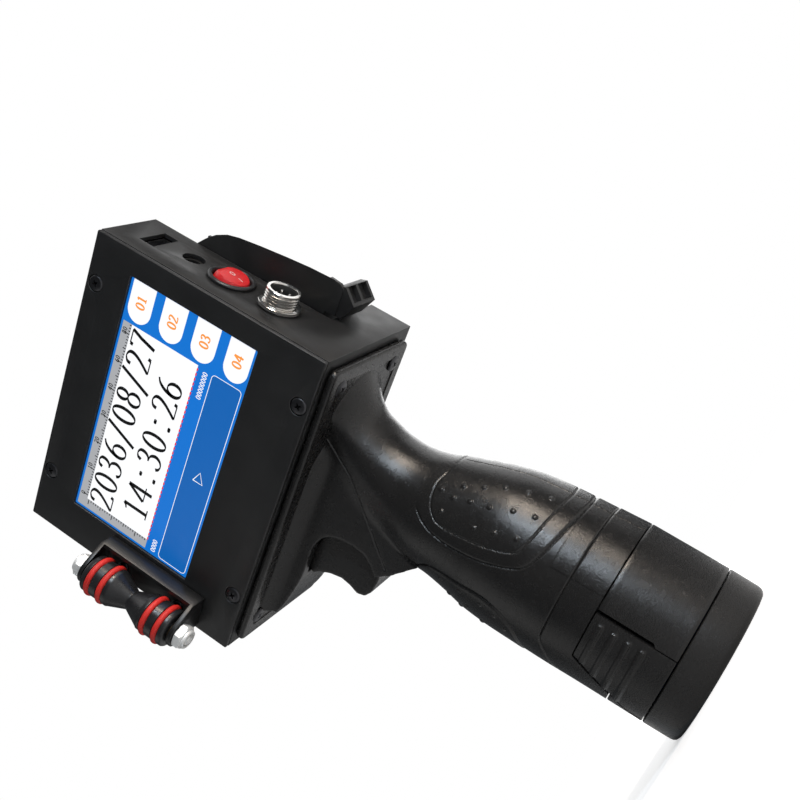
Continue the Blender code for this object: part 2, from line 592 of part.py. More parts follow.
def handle():
    inner = grip_solid("grip_inside", inset=WALL, stretch=1.0)
    for name, side in (("handle_shell_left", -1), ("handle_shell_right", 1)):
        shell = grip_solid(name)
        place(shell, HANDLE_BLACK)
        shell.hide_render = False
        shell.display_type = 'TEXTURED'
        housing = prism(name + "_housing", housing_outline(), (-WEB_HALF, WEB_HALF), 'Y')
        join(shell, housing)
        cavity = prism(name + "_cavity", housing_outline(WALL, 144.0),
                       (-WEB_HALF + WALL, WEB_HALF - WALL), 'Y')
        slot_outline = [(-60.0, 108.6), (-22.0, 108.6), (-22.0, 141.6), (-49.5, 141.6),
                        (-51.5, 133.9), (-60.0, 133.9)]
        slot = prism(name + "_slot", slot_outline, (-9.3, 9.3), 'Y')
        pin_hole = rod(name + "_pin_hole", TRIGGER_PIVOT, 1.85, (-12.6, 12.6), 'Y')
        cut(shell, inner, cavity, slot, pin_hole, below_seam(name + "_seam", 0.0))
        if side < 0:
            half = box(name + "_half", (-100.0, -60.0, 0.0), (100.0, -0.15, 160.0))
            seat = box(name + "_spring_seat", (-10.6, -15.2, 112.0), (-8.8, -0.4, 124.0))
        else:
            half = box(name + "_half", (-100.0, 0.15, 0.0), (100.0, 60.0, 160.0))
            seat = box(name + "_spring_seat", (-10.6, 0.4, 112.0), (-8.8, 15.2, 124.0))
        boolean(shell, half, 'INTERSECT')
        join(shell, seat)
        smooth(shell, 40)

    flange = box("handle_flange", (FLANGE_X[0], FLANGE_Y[0], FLANGE_Z[0]),
                 (FLANGE_X[1], FLANGE_Y[1], FLANGE_Z[1]), HANDLE_BLACK, bevel=1.4)
    cut(flange, rod("flange_cable_hole", (-6.0, -7.0), 6.0, (138.0, 148.0), 'Z'))
    number = 0
    for sx in FLANGE_SCREW_X:
        for sy in FLANGE_SCREW_Y:
            number += 1
            cut(flange, rod(f"flange_hole_{number}", (sx, sy), 1.9, (138.0, 150.0), 'Z'))
            sink = rod(f"flange_sink_{number}", (sx, sy), 3.8, (FLANGE_Z[0] - 0.2, FLANGE_Z[0] + 1.5),
                       'Z', radius_top=1.9)
            cut(flange, sink)
            countersunk_screw(f"flange_screw_{number}", (sx, sy, FLANGE_Z[0] + 0.05), 'Z', 1, 7.0,
                              BLACK_STEEL)


def trigger():
    px, pz = TRIGGER_PIVOT
    front = [(-50.2, 133.0), (-48.3, 130.8), (-46.3, 126.5), (-45.3, 122.0), (-45.9, 118.2),
             (-47.2, 114.6), (-46.3, 111.6), (-43.6, 109.9), (-39.0, 109.2), (-33.5, 109.6)]
    back = [(-25.6, 114.0), (-24.6, 120.0), (-25.6, 128.0), (-30.0, 133.2), (-38.6, 135.0)]
    boss = arc((px, pz), 3.9, 0.0, 200.0, 8)
    blade = prism("trigger", front + back + boss, (-TRIGGER_HALF, TRIGGER_HALF), 'Y', HANDLE_BLACK)
    rounding(blade, 0.9, 1, 50.0)
    cut(blade, rod("trigger_bore", TRIGGER_PIVOT, 1.85, (-12.0, 12.0), 'Y'))
    origin(blade, (px, 0.0, pz))
    rod("trigger_pin", TRIGGER_PIVOT, 1.5, (-12.2, 12.2), 'Y', ZINC, sides=20)
    box("trigger_switch", (-21.0, -3.2, 126.0), (-8.6, 3.2, 132.6), COVER_BLACK, bevel=0.4)

    spring = bpy.data.curves.new("trigger_spring", 'CURVE')
    spring.dimensions = '3D'
    spring.bevel_depth = 0.4 * MM
    spring.bevel_resolution = 1
    spring.use_fill_caps = True
    coil = spring.splines.new('POLY')
    turns = 4
    steps = 9 * turns
    coil.points.add(steps)
    start, end = -23.4, -11.6
    for i, point in enumerate(coil.points):
        turn = 2 * math.pi * turns * i / steps
        point.co = ((start + (end - start) * i / steps) * MM, 3.0 * math.cos(turn) * MM,
                    (118.0 + 3.0 * math.sin(turn)) * MM, 1)
    obj = bpy.data.objects.new("trigger_spring", spring)
    place(obj, ZINC)
    weld = obj.modifiers.new("weld", 'WELD')
    weld.merge_threshold = 1e-5


# ---- battery pack ----------------------------------------------------------------------------
def latch_outline(grow, slack=0.0):
    """Side latch or its window seen along Y. slack draws the slanted edge back from the grip."""
    low, high = LATCH_X
    top = PACK_SEAM_Z - 0.4
    floor = CAP_TOP_Z + 0.5 - grow
    return [(high + grow, top + grow * 3), (-8.3 - grow + slack, top + grow * 3),
            (-15.6 - grow + slack / 2, PACK_STEP_Z - 0.4), (low - grow, 18.0), (low - grow, floor),
            (high + grow, floor)]


def battery_pack():
    shell = turned("battery_shell", [(0.0, 46.0), (PACK_R, 46.0), (PACK_R, CAP_TOP_Z), (0.0, CAP_TOP_Z)],
                   mat=HANDLE_BLACK, steps=48)
    keep = below_seam("pack_keep", 0.4)
    boolean(shell, keep, 'INTERSECT')
    join(shell, rod("pack_sleeve", (0, 0), SLEEVE_R, (CAP_TOP_Z + 3.0, PACK_TOP_Z), 'Z', sides=48))
    cut(shell, rod("pack_bore", (0, 0), BORE_R, (CAP_TOP_Z - 2, PACK_TOP_Z - 1.4), 'Z', sides=48))
    for name, side in (("battery_latch_left", -1), ("battery_latch_right", 1)):
        span = (-40.0, -1.0) if side < 0 else (1.0, 40.0)
        window = prism(name + "_window", latch_outline(0.35), span, 'Y')
        cut(window, rod(name + "_core", (0, 0), SLEEVE_R + 0.3, (0.0, 60.0), 'Z', sides=44))
        cut(shell, window)
        latch = turned(name, [(24.9, 45.0), (PACK_R - 0.1, 45.0), (PACK_R - 0.1, CAP_TOP_Z),
                              (24.9, CAP_TOP_Z)], mat=HANDLE_BLACK, steps=48)
        boolean(latch, prism(name + "_outline", latch_outline(0.0, 1.4), span, 'Y'), 'INTERSECT')

    foot = 1.6
    turned("battery_end_cap", [(0.0, CAP_TOP_Z - GAP), (PACK_R, CAP_TOP_Z - GAP), (27.0, foot),
                               (26.5, 0.4), (25.6, 0.0), (0.0, 0.0)], mat=HANDLE_BLACK, steps=40)
    cut(bpy.data.objects["battery_end_cap"],
        rod("cap_hollow", (0, 0), BORE_R, (3.0, 20.0), 'Z', sides=36))
    for i in range(3):
        turn = math.radians(90 + 120 * i)
        at = (CELL_RING * math.cos(turn), CELL_RING * math.sin(turn))
        rod(f"battery_cell_{i + 1}", at, CELL_R, CELL_Z, 'Z', CELL_WRAP, sides=24)
    contacts = rod("battery_contacts", (0, 0), 13.0, (PACK_TOP_Z + 0.35, PACK_TOP_Z + 1.6), 'Z', BRONZE,
                   sides=24)
    cut(contacts, rod("contacts_hole", (0, 0), 4.0, (60.0, 90.0), 'Z'))
    rod("contact_block", (-1.4, 0), 20.5, (PACK_TOP_Z + 2.4, PACK_TOP_Z + 8.0), 'Z', COVER_BLACK,
        sides=32)


def power_lead():
    """Cable from the contact block up through the neck to the main board's plug."""
    route = [(-4.0, 3.0, 78.8), (-4.0, 3.0, 84.0), (-2.0, 1.5, 96.0), (1.0, -2.0, 110.0),
             (1.0, -6.0, 124.0), (-3.0, -7.2, 136.0), (-6.0, -7.0, 144.0), (-7.0, -7.6, 150.0),
             (-8.0, -8.6, 157.0), (-8.0, -8.6, 163.0)]
    curve = bpy.data.curves.new("power_lead", 'CURVE')
    curve.dimensions = '3D'
    curve.bevel_depth = 1.5 * MM
    curve.bevel_resolution = 2
    curve.use_fill_caps = True
    line = curve.splines.new('POLY')
    smooth_route = []
    last = len(route) - 1
    for i in range(last):
        before, a, b, after = (Vector(route[max(i - 1, 0)]), Vector(route[i]), Vector(route[i + 1]),
                               Vector(route[min(i + 2, last)]))
        for k in range(3):
            t = k / 3
            smooth_route.append(0.5 * (2 * a + (b - before) * t + (2 * before - 5 * a + 4 * b - after)
                                       * t * t + (3 * a - before - 3 * b + after) * t ** 3))
    smooth_route.append(Vector(route[-1]))
    line.points.add(len(smooth_route) - 1)
    for point, at in zip(line.points, smooth_route):
        point.co = (*(at * MM), 1)
    obj = bpy.data.objects.new("power_lead", curve)
    place(obj, COVER_BLACK)
    weld = obj.modifiers.new("weld", 'WELD')
    weld.merge_threshold = 1e-5


main_case()
front_panel()
screen()
ports()
switch_rocker()
cartridge_bay()
clamp_cover()
roller()
handle()
trigger()
battery_pack()
power_lead()
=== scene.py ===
"""Looks for the handheld date code inkjet printer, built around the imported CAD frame.

Frame: metres, +Z up, origin at the centre of the battery pack's base. The screen faces -Y, the print
end faces -X and the ports face +X. Lengths in the code are millimetres unless a name says otherwise.
"""
import math

import bmesh
import bpy
import numpy as np
from mathutils import Matrix, Vector


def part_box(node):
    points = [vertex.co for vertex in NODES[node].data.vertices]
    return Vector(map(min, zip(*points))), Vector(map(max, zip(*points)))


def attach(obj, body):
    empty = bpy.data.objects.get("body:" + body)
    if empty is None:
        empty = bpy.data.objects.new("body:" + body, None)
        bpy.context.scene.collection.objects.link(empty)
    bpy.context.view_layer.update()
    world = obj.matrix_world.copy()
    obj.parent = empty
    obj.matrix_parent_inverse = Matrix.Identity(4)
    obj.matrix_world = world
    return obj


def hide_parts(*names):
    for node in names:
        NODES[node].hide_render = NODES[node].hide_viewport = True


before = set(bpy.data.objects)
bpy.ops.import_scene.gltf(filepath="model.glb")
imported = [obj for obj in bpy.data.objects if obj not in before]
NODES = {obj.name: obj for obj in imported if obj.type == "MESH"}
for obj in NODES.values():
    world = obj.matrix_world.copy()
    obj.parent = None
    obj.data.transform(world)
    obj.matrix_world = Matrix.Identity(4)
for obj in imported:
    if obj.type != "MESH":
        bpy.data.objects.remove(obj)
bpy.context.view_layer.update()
MM = 0.001


def corner(node, which):
    """One corner of a CAD node's box in millimetres: 0 is the lowest, 1 the highest."""
    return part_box(node)[which] / MM


def corners(node):
    return corner(node, 0), corner(node, 1)


def middle(node):
    low, high = corners(node)
    return (low + high) / 2


# ---- materials -------------------------------------------------------------------------------
def feed(tree, node, inputs):
    """Fill a node's inputs with plain values, or link them to sockets."""
    for key, value in inputs.items():
        if isinstance(value, bpy.types.NodeSocket):
            tree.links.new(value, node.inputs[key])
        else:
            node.inputs[key].default_value = value
    return node


def add(tree, kind, inputs=None, **settings):
    """A new shader node with its settings and inputs."""
    node = tree.nodes.new("ShaderNode" + kind)
    for key, value in settings.items():
        setattr(node, key, value)
    return feed(tree, node, inputs or {})


def parts_of(made):
    return made.node_tree, made.node_tree.nodes["Principled BSDF"]


def principled(name, colour, roughness, metallic=0.0, specular=0.5):
    """A new material with its plain values on the shader's own sockets."""
    made = bpy.data.materials.new(name)
    made.use_nodes = True
    feed(*parts_of(made), {"Base Color": (*colour, 1.0), "Roughness": roughness,
                           "Metallic": metallic, "Specular IOR Level": specular})
    made.diffuse_color = (*colour, 1.0)
    return made


def noise_node(tree, scale, detail=2.0, stretch=None):
    """Noise in the piece's own coordinates. stretch squeezes the pattern along the axes."""
    source = add(tree, "TexCoord").outputs["Object"]
    if stretch:
        source = add(tree, "Mapping", {"Vector": source, "Scale": stretch}).outputs["Vector"]
    return add(tree, "TexNoise", {"Vector": source, "Scale": scale, "Detail": detail}).outputs["Fac"]


def remap(tree, value, low, high, to_low, to_high):
    ends = {"From Min": low, "From Max": high, "To Min": to_low, "To Max": to_high}
    return add(tree, "MapRange", {"Value": value, **ends}).outputs["Result"]


def blend_colour(tree, factor, first, second):
    mix = add(tree, "Mix", {"A": first, "B": second, "Factor": factor}, data_type='RGBA')
    return mix.outputs["Result"]


def mottle(made, other, scale):
    """Base colour drifts between the material's colour and another."""
    tree, shader = parts_of(made)
    own = tuple(shader.inputs["Base Color"].default_value)
    factor = remap(tree, noise_node(tree, scale, 3.0), 0.35, 0.65, 0.0, 1.0)
    feed(tree, shader, {"Base Color": blend_colour(tree, factor, own, (*other, 1.0))})
    return made


def gloss_drift(made, low, high, scale, stretch=None):
    """Roughness drifts between two values."""
    tree, shader = parts_of(made)
    value = remap(tree, noise_node(tree, scale, 3.0, stretch), 0.3, 0.7, low, high)
    feed(tree, shader, {"Roughness": value})
    return made


def grain(made, scale, strength, depth, detail=2.0, stretch=None):
    """Fine surface texture. depth is in millimetres."""
    tree, shader = parts_of(made)
    bump = add(tree, "Bump", {"Strength": strength, "Distance": depth * MM,
                              "Height": noise_node(tree, scale, detail, stretch)})
    feed(tree, shader, {"Normal": bump.outputs["Normal"]})
    return made


def worn_edges(made, colour, radius, amount):
    """Lighter, rubbed edges over a mottled colour, broken up by noise."""
    tree, shader = parts_of(made)
    rounded = add(tree, "Bevel", {"Radius": radius * MM}, samples=4).outputs["Normal"]
    flat = add(tree, "NewGeometry").outputs["Normal"]
    dot = add(tree, "VectorMath", {0: rounded, 1: flat}, operation='DOT_PRODUCT')
    edge = remap(tree, dot.outputs["Value"], 0.99, 0.86, 0.0, amount)
    patchy = remap(tree, noise_node(tree, 260.0, 4.0), 0.4, 0.62, 0.15, 1.0)
    rubbed = add(tree, "Math", {0: edge, 1: patchy}, operation='MULTIPLY').outputs["Value"]
    under = shader.inputs["Base Color"].links[0].from_socket
    feed(tree, shader, {"Base Color": blend_colour(tree, rubbed, under, (*colour, 1.0))})
    return made


def powder_coat():
    made = principled("powder_coat", (0.0072, 0.0072, 0.0076), 0.46)
    mottle(made, (0.0095, 0.0095, 0.0098), 90.0)
    gloss_drift(made, 0.42, 0.52, 130.0)
    grain(made, 2600.0, 0.35, 0.05)
    return worn_edges(made, (0.11, 0.11, 0.115), 0.5, 0.55)


def handle_plastic():
    made = principled("handle_plastic", (0.0095, 0.0091, 0.0089), 0.25, specular=0.4)
    mottle(made, (0.0125, 0.0119, 0.0116), 55.0)
    gloss_drift(made, 0.2, 0.3, 420.0)
    grain(made, 2600.0, 0.8, 0.09, 1.0)
    return worn_edges(made, (0.04, 0.038, 0.037), 0.35, 0.1)


def smooth_plastic():
    made = principled("smooth_plastic", (0.0065, 0.0063, 0.0066), 0.45)
    mottle(made, (0.009, 0.009, 0.009), 70.0)
    gloss_drift(made, 0.4, 0.52, 120.0)
    grain(made, 1500.0, 0.2, 0.03)
    return made


def dark_core():
    made = principled("dark_core", (0.006, 0.006, 0.006), 0.6)
    grain(made, 900.0, 0.2, 0.04)
    return gloss_drift(made, 0.5, 0.7, 200.0)


def bright_metal(name, colour, low, high, brush=None, metallic=1.0):
    made = principled(name, colour, (low + high) / 2, metallic)
    gloss_drift(made, low, high, 500.0, brush)
    return grain(made, 900.0, 0.05, 0.01, 2.0, brush)


def screen_film(name, colour, glow):
    """A lit display surface under a satin film."""
    made = principled(name, tuple(0.12 * part for part in colour), 0.32)
    feed(*parts_of(made), {"Emission Color": (*colour, 1.0), "Emission Strength": glow})
    gloss_drift(made, 0.28, 0.38, 220.0)
    return grain(made, 3000.0, 0.05, 0.01)


def soft_plastic(name, colour, second, low, high):
    made = principled(name, colour, (low + high) / 2)
    mottle(made, second, 150.0)
    gloss_drift(made, low, high, 260.0)
    return grain(made, 1600.0, 0.22, 0.03)


POWDER = powder_coat()
HANDLE = handle_plastic()
COVER = smooth_plastic()
DARK = dark_core()
CHROME = bright_metal("polished_chrome", (0.74, 0.72, 0.69), 0.12, 0.2)
ZINC = bright_metal("zinc_plate", (0.8, 0.8, 0.79), 0.5, 0.62, None, 0.45)
BRUSHED = bright_metal("brushed_steel", (0.6, 0.6, 0.62), 0.28, 0.42, (1.0, 0.08, 1.0))
SCREW_BLACK = bright_metal("black_oxide", (0.07, 0.07, 0.075), 0.26, 0.4)
BRONZE = bright_metal("bronze", (0.5, 0.33, 0.16), 0.3, 0.45)
GOLD = bright_metal("gold_contacts", (0.83, 0.62, 0.25), 0.22, 0.34)
ROCKER_RED = soft_plastic("rocker_red", (0.5, 0.009, 0.012), (0.45, 0.008, 0.01), 0.36, 0.46)
RING_RED = soft_plastic("ring_red", (0.68, 0.022, 0.014), (0.54, 0.016, 0.011), 0.5, 0.64)
MARK_WHITE = soft_plastic("mark_white", (0.82, 0.8, 0.78), (0.74, 0.72, 0.7), 0.4, 0.5)
ROLLER_BLACK = soft_plastic("roller_black", (0.011, 0.011, 0.012), (0.016, 0.016, 0.017), 0.26, 0.36)
GREY = soft_plastic("grey_plastic", (0.12, 0.12, 0.125), (0.15, 0.15, 0.155), 0.5, 0.62)
CELL = soft_plastic("cell_wrap", (0.05, 0.17, 0.4), (0.04, 0.13, 0.33), 0.35, 0.45)
BOARD = soft_plastic("circuit_board", (0.015, 0.1, 0.045), (0.01, 0.07, 0.03), 0.4, 0.55)
CABLE = soft_plastic("cable_jacket", (0.02, 0.02, 0.021), (0.028, 0.028, 0.028), 0.5, 0.65)
BEZEL = soft_plastic("switch_bezel", (0.014, 0.014, 0.015), (0.019, 0.019, 0.02), 0.32, 0.42)
BRACKET = soft_plastic("bracket_paint", (0.0045, 0.0045, 0.0048), (0.006, 0.006, 0.0062), 0.36, 0.46)
# painted shade: the USB socket's steel is made dark all over, so that its opening reads as shaded inside
SHADED_SOCKET = bright_metal("socket_steel_painted_shade", (0.2, 0.2, 0.21), 0.26, 0.36)

LCD_BLUE = screen_film("lcd_blue", (0.004, 0.17, 0.64), 0.95)
LCD_DEEP = screen_film("lcd_deep_blue", (0.005, 0.125, 0.46), 0.92)
LCD_WHITE = screen_film("lcd_white", (0.97, 0.98, 1.0), 0.97)
LCD_GREY = screen_film("lcd_grey", (0.42, 0.43, 0.45), 0.9)
LCD_BLACK = screen_film("lcd_black", (0.004, 0.004, 0.005), 0.0)
LCD_ORANGE = screen_film("lcd_orange", (0.95, 0.33, 0.06), 0.95)
LCD_RED = screen_film("lcd_red", (0.85, 0.02, 0.04), 0.95)


# ---- mesh helpers ----------------------------------------------------------------------------
def shade(obj, angle=35.0):
    obj.data.shade_smooth()
    obj.data.set_sharp_from_angle(angle=math.radians(angle))
    return obj


def finished(obj, mat, slot, *nodes, body="printer_body"):
    """Give a piece its material and its body, and hide the CAD nodes that it stands for. The slot is not
    used.
    """
    obj.data.materials.clear()
    obj.data.materials.append(mat)
    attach(obj, body)
    if nodes:
        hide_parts(*nodes)
    return obj


def linked(name, data):
    obj = bpy.data.objects.new(name, data)
    bpy.context.scene.collection.objects.link(obj)
    return obj


def from_bmesh(name, bm):
    bmesh.ops.recalc_face_normals(bm, faces=bm.faces)
    mesh = bpy.data.meshes.new(name)
    bm.to_mesh(mesh)
    bm.free()
    return linked(name, mesh)


def from_lists(name, verts, faces):
    """Mesh from points in millimetres."""
    mesh = bpy.data.meshes.new(name)
    mesh.from_pydata((np.asarray(verts, float) * MM).tolist(), [], [tuple(f) for f in faces])
    mesh.update()
    return linked(name, mesh)


def outward(obj):
    """Turn all faces outward."""
    bm = bmesh.new()
    bm.from_mesh(obj.data)
    bmesh.ops.recalc_face_normals(bm, faces=bm.faces)
    bm.to_mesh(obj.data)
    bm.free()
    return obj


def walls(rows, sides, closed=True):
    """Faces between neighbouring rings of points, and from the last ring back to the first."""
    faces = []
    for row in range(rows if closed else rows - 1):
        a, b = row * sides, (row + 1) % rows * sides
        for k in range(sides):
            n = (k + 1) % sides
            faces.append((a + k, a + n, b + n, b + k))
    return faces


def places(mesh):
    """x, y and z of all points of a mesh, in millimetres."""
    points = np.empty(len(mesh.vertices) * 3)
    mesh.vertices.foreach_get("co", points)
    return (points.reshape(-1, 3) / MM).T


def evaluated(obj):
    """The mesh that an object's modifiers or its curve give."""
    seen = obj.evaluated_get(bpy.context.evaluated_depsgraph_get())
    return bpy.data.meshes.new_from_object(seen)


def modified(obj, kind, **settings):
    """Apply one modifier to an object's mesh."""
    mod = obj.modifiers.new(kind, kind)
    for key, value in settings.items():
        setattr(mod, key, value)
    mesh = evaluated(obj)
    obj.modifiers.clear()
    obj.data = mesh
    return obj


def cad_copy(name, node):
    """A new object with a CAD node's mesh, its split points welded and flat faces joined."""
    bm = bmesh.new()
    bm.from_mesh(NODES[node].data)
    bmesh.ops.remove_doubles(bm, verts=bm.verts, dist=2e-6)
    bmesh.ops.dissolve_limit(bm, angle_limit=math.radians(0.6), verts=bm.verts, edges=bm.edges)
    return from_bmesh(name, bm)


def bevelled(obj, width, segments=2, angle=35.0):
    modified(obj, 'BEVEL', width=width * MM, segments=segments, limit_method='ANGLE',
             angle_limit=math.radians(angle), harden_normals=False)
    return shade(obj, 40.0)


def softened(name, node, width, segments, angle, mat, slot, body="printer_body"):
    """A CAD node's own shape with bevelled edges."""
    piece = bevelled(cad_copy(name, node), width, segments, angle)
    return finished(piece, mat, slot, node, body=body)


def voxels(obj, size):
    return modified(obj, 'REMESH', mode='VOXEL', voxel_size=size * MM)


def relax(obj, steps, group=""):
    return modified(obj, 'SMOOTH', factor=0.5, iterations=steps, vertex_group=group)


def boolean(obj, other, operation):
    modified(obj, 'BOOLEAN', operation=operation, solver='EXACT', object=other)
    bpy.data.objects.remove(other)
    return obj


def block(name, low, high):
    bm = bmesh.new()
    bmesh.ops.create_cube(bm, size=1.0)
    size = [(b - a) * MM for a, b in zip(low, high)]
    centre = [(a + b) / 2 * MM for a, b in zip(low, high)]
    bmesh.ops.scale(bm, vec=size, verts=bm.verts)
    bmesh.ops.translate(bm, vec=centre, verts=bm.verts)
    return from_bmesh(name, bm)


def post(name, radius, low, high):
    """Upright cylinder about the origin."""
    bm = bmesh.new()
    bmesh.ops.create_cone(bm, cap_ends=True, segments=96, radius1=radius * MM, radius2=radius * MM,
                          depth=(high - low) * MM)
    bmesh.ops.translate(bm, vec=(0, 0, (low + high) / 2 * MM), verts=bm.verts)
    return from_bmesh(name, bm)


TURNS = {
    'X': np.array(((0, 0, 1), (1, 0, 0), (0, 1, 0)), float),   # local z runs along X
    'Z': np.eye(3),
    '-Y': np.array(((1, 0, 0), (0, 0, -1), (0, 1, 0)), float),
    '-Z': np.array(((1, 0, 0), (0, -1, 0), (0, 0, -1)), float),
}


def lathe(name, profile, at=(0, 0, 0), axis='Z', steps=96, sharp=35.0):
    """Solid of revolution from (radius, height) pairs. Ends on the axis, or closes on itself."""
    verts, faces, rows = [], [], []
    for r, h in profile:
        count = steps if r > 1e-6 else 1
        rows.append(range(len(verts), len(verts) + count))
        for k in range(count):
            turn = 2 * math.pi * k / steps
            verts.append((r * math.cos(turn), r * math.sin(turn), h))
    pairs = list(zip(rows, rows[1:]))
    if profile[0][0] > 1e-6 and profile[-1][0] > 1e-6:
        pairs.append((rows[-1], rows[0]))
    for a, b in pairs:
        for k in range(steps if len(a) + len(b) > 2 else 0):
            n = (k + 1) % steps
            quad = (a[k % len(a)], b[k % len(b)], b[n % len(b)], a[n % len(a)])
            faces.append(tuple(dict.fromkeys(quad)))
    verts = np.array(verts) @ TURNS[axis].T + np.array(at, float)
    return shade(outward(from_lists(name, verts, faces)), sharp)


def rounded_rectangle(low, high, radius, steps=5):
    (x0, y0), (x1, y1) = low, high
    points = []
    for cx, cy, start in ((x1 - radius, y1 - radius, 0), (x0 + radius, y1 - radius, 90),
                          (x0 + radius, y0 + radius, 180), (x1 - radius, y0 + radius, 270)):
        points += ring(cx, cy, radius, radius, start, start + 90, steps)
    return points


def ring(cx, cy, rx, ry, start=0.0, end=360.0, steps=28):
    """Points along an ellipse. A full turn repeats its first point at its end."""
    turns = [math.radians(start + (end - start) * i / steps) for i in range(steps + 1)]
    return [(cx + rx * math.cos(turn), cy + ry * math.sin(turn)) for turn in turns]


def circle(cx, cy, radius, steps=40):
    return ring(cx, cy, radius, radius, steps=steps)[:-1]


def plate(name, outlines, span, axis='-Y', edge=0.0):
    """Flat plate between outlines, the first one outside, with rounded edges.

    Axis -Y takes (x, z) outlines and a span in y, axis Z takes (x, y) outlines and a span in z.
    """
    curve = bpy.data.curves.new(name, 'CURVE')
    curve.dimensions = '2D'
    curve.fill_mode = 'BOTH'
    curve.extrude = ((span[1] - span[0]) / 2 - edge) * MM
    curve.bevel_depth = edge * MM
    curve.bevel_resolution = 2
    curve.offset = -edge * MM
    for outline in outlines:
        spline = curve.splines.new('POLY')
        spline.points.add(len(outline) - 1)
        for point, (u, v) in zip(spline.points, outline):
            point.co = (u * MM, v * MM, 0, 1)
        spline.use_cyclic_u = True
    flat = linked(name + "_curve", curve)
    mesh = evaluated(flat)
    bpy.data.objects.remove(flat)
    bm = bmesh.new()
    bm.from_mesh(mesh)
    bmesh.ops.remove_doubles(bm, verts=bm.verts, dist=1e-6)
    turn = Matrix(TURNS[axis].tolist()).to_4x4()
    bmesh.ops.transform(bm, matrix=turn, verts=bm.verts)
    shift = (span[0] + span[1]) / 2 * MM
    offset = (0, shift, 0) if axis == '-Y' else (0, 0, shift)
    bmesh.ops.translate(bm, vec=offset, verts=bm.verts)
    return shade(from_bmesh(name, bm), 40.0)


def smoothstep(value, low, high):
    t = np.clip((value - low) / (high - low), 0.0, 1.0)
    return t * t * (3 - 2 * t)


def chaikin(points):
    """Cut the corners of a closed outline twice, so that it runs smoothly."""
    for _ in range(2):
        cut = []
        for a, b in zip(points, points[1:] + points[:1]):
            cut.append((a[0] * 0.75 + b[0] * 0.25, a[1] * 0.75 + b[1] * 0.25))
            cut.append((a[0] * 0.25 + b[0] * 0.75, a[1] * 0.25 + b[1] * 0.75))
        points = cut
    return points


def line_distance(u, v, points, closed=False):
    """Distance from each (u, v) to a line of points. Points may hold arrays in their first place."""
    best = np.full(u.shape, 1e9)
    count = len(points)
    for i in range(count if closed else count - 1):
        (u0, v0), (u1, v1) = points[i], points[(i + 1) % count]
        du, dv = u1 - u0, v1 - v0
        along = np.clip(((u - u0) * du + (v - v0) * dv) / (du * du + dv * dv + 1e-12), 0, 1)
        best = np.minimum(best, np.hypot(u - u0 - along * du, v - v0 - along * dv))
    return best


def inside(u, v, points):
    """True where (u, v) lies in a closed outline."""
    result = np.zeros(u.shape, bool)
    count = len(points)
    for i in range(count):
        (u0, v0), (u1, v1) = points[i], points[(i + 1) % count]
        crosses = (v0 > v) != (v1 > v)
        at = (u1 - u0) * (v - v0) / (v1 - v0 if v1 != v0 else 1e-9) + u0
        result ^= crosses & (u < at)
    return result


def channel(distance, width, depth):
    """Depth of a rounded groove at a distance from its line."""
    t = np.clip(1 - (distance / (width / 2)) ** 2, 0, 1)
    return -depth * t * t


# ---- camera, floor and light -----------------------------------------------------------------
CAMERA_AT = Vector((0.17959, -0.30553, 0.02114))
CAMERA_HEADING = 27.10          # degrees from +Y towards -X
CAMERA_PITCH = 17.47            # degrees above the horizon
CAMERA_ROLL = 59.65             # degrees clockwise, so that the handle runs to the lower right
CAMERA_LENS = 48.456            # on a 36 mm sensor


def camera():
    data = bpy.data.cameras.new("camera")
    data.lens = CAMERA_LENS
    data.clip_start = 0.01
    cam = linked("camera", data)
    turn = Matrix.Rotation(math.radians(CAMERA_HEADING), 3, 'Z')
    turn = turn @ Matrix.Rotation(math.radians(90 + CAMERA_PITCH), 3, 'X')
    turn = turn @ Matrix.Rotation(math.radians(-CAMERA_ROLL), 3, 'Z')
    cam.matrix_world = Matrix.Translation(CAMERA_AT) @ turn.to_4x4()
    bpy.context.scene.camera = cam


def area_light(name, at, target, size, power, colour):
    data = bpy.data.lights.new(name, 'AREA')
    data.shape = 'RECTANGLE'
    data.size, data.size_y = size
    data.energy = power
    data.color = colour
    light = linked(name, data)
    light.location = at
    light.rotation_euler = (Vector(target) - Vector(at)).to_track_quat('-Z', 'Y').to_euler()


def studio():
    world = bpy.data.worlds.new("studio")
    bpy.context.scene.world = world
    world.use_nodes = True
    tree = world.node_tree
    dim = feed(tree, tree.nodes["Background"], {"Color": (0.9, 0.95, 1.0, 1.0), "Strength": 0.11})
    white = add(tree, "Background", {"Color": (1.0, 1.0, 1.0, 1.0), "Strength": 1.0})
    seen = add(tree, "LightPath").outputs["Is Camera Ray"]
    mix = add(tree, "MixShader", {"Fac": seen, 1: dim.outputs["Background"],
                                  2: white.outputs["Background"]})
    feed(tree, tree.nodes["World Output"], {"Surface": mix.outputs["Shader"]})

    aim = (0.0, 0.0, 0.11)
    area_light("warm_key", (0.78, -0.10, 0.38), aim, (0.05, 0.34), 4.0, (1.0, 0.86, 0.72))
    area_light("cool_key", (0.72, -0.40, 0.34), aim, (0.07, 0.34), 4.0, (0.8, 0.9, 1.0))
    area_light("port_glow", (0.45, 0.76, 0.46), aim, (0.5, 0.5), 1.1, (1.0, 1.0, 1.0))
    area_light("overhead", (0.1, 0.2, 1.1), aim, (0.9, 0.9), 3.0, (1.0, 1.0, 1.0))
    area_light("print_end_fill", (-0.8, -0.5, 0.35), aim, (0.6, 0.6), 0.6, (1.0, 0.98, 0.95))
    area_light("back_fill", (-0.2, 0.9, 0.5), aim, (0.8, 0.6), 3.5, (1.0, 1.0, 1.0))


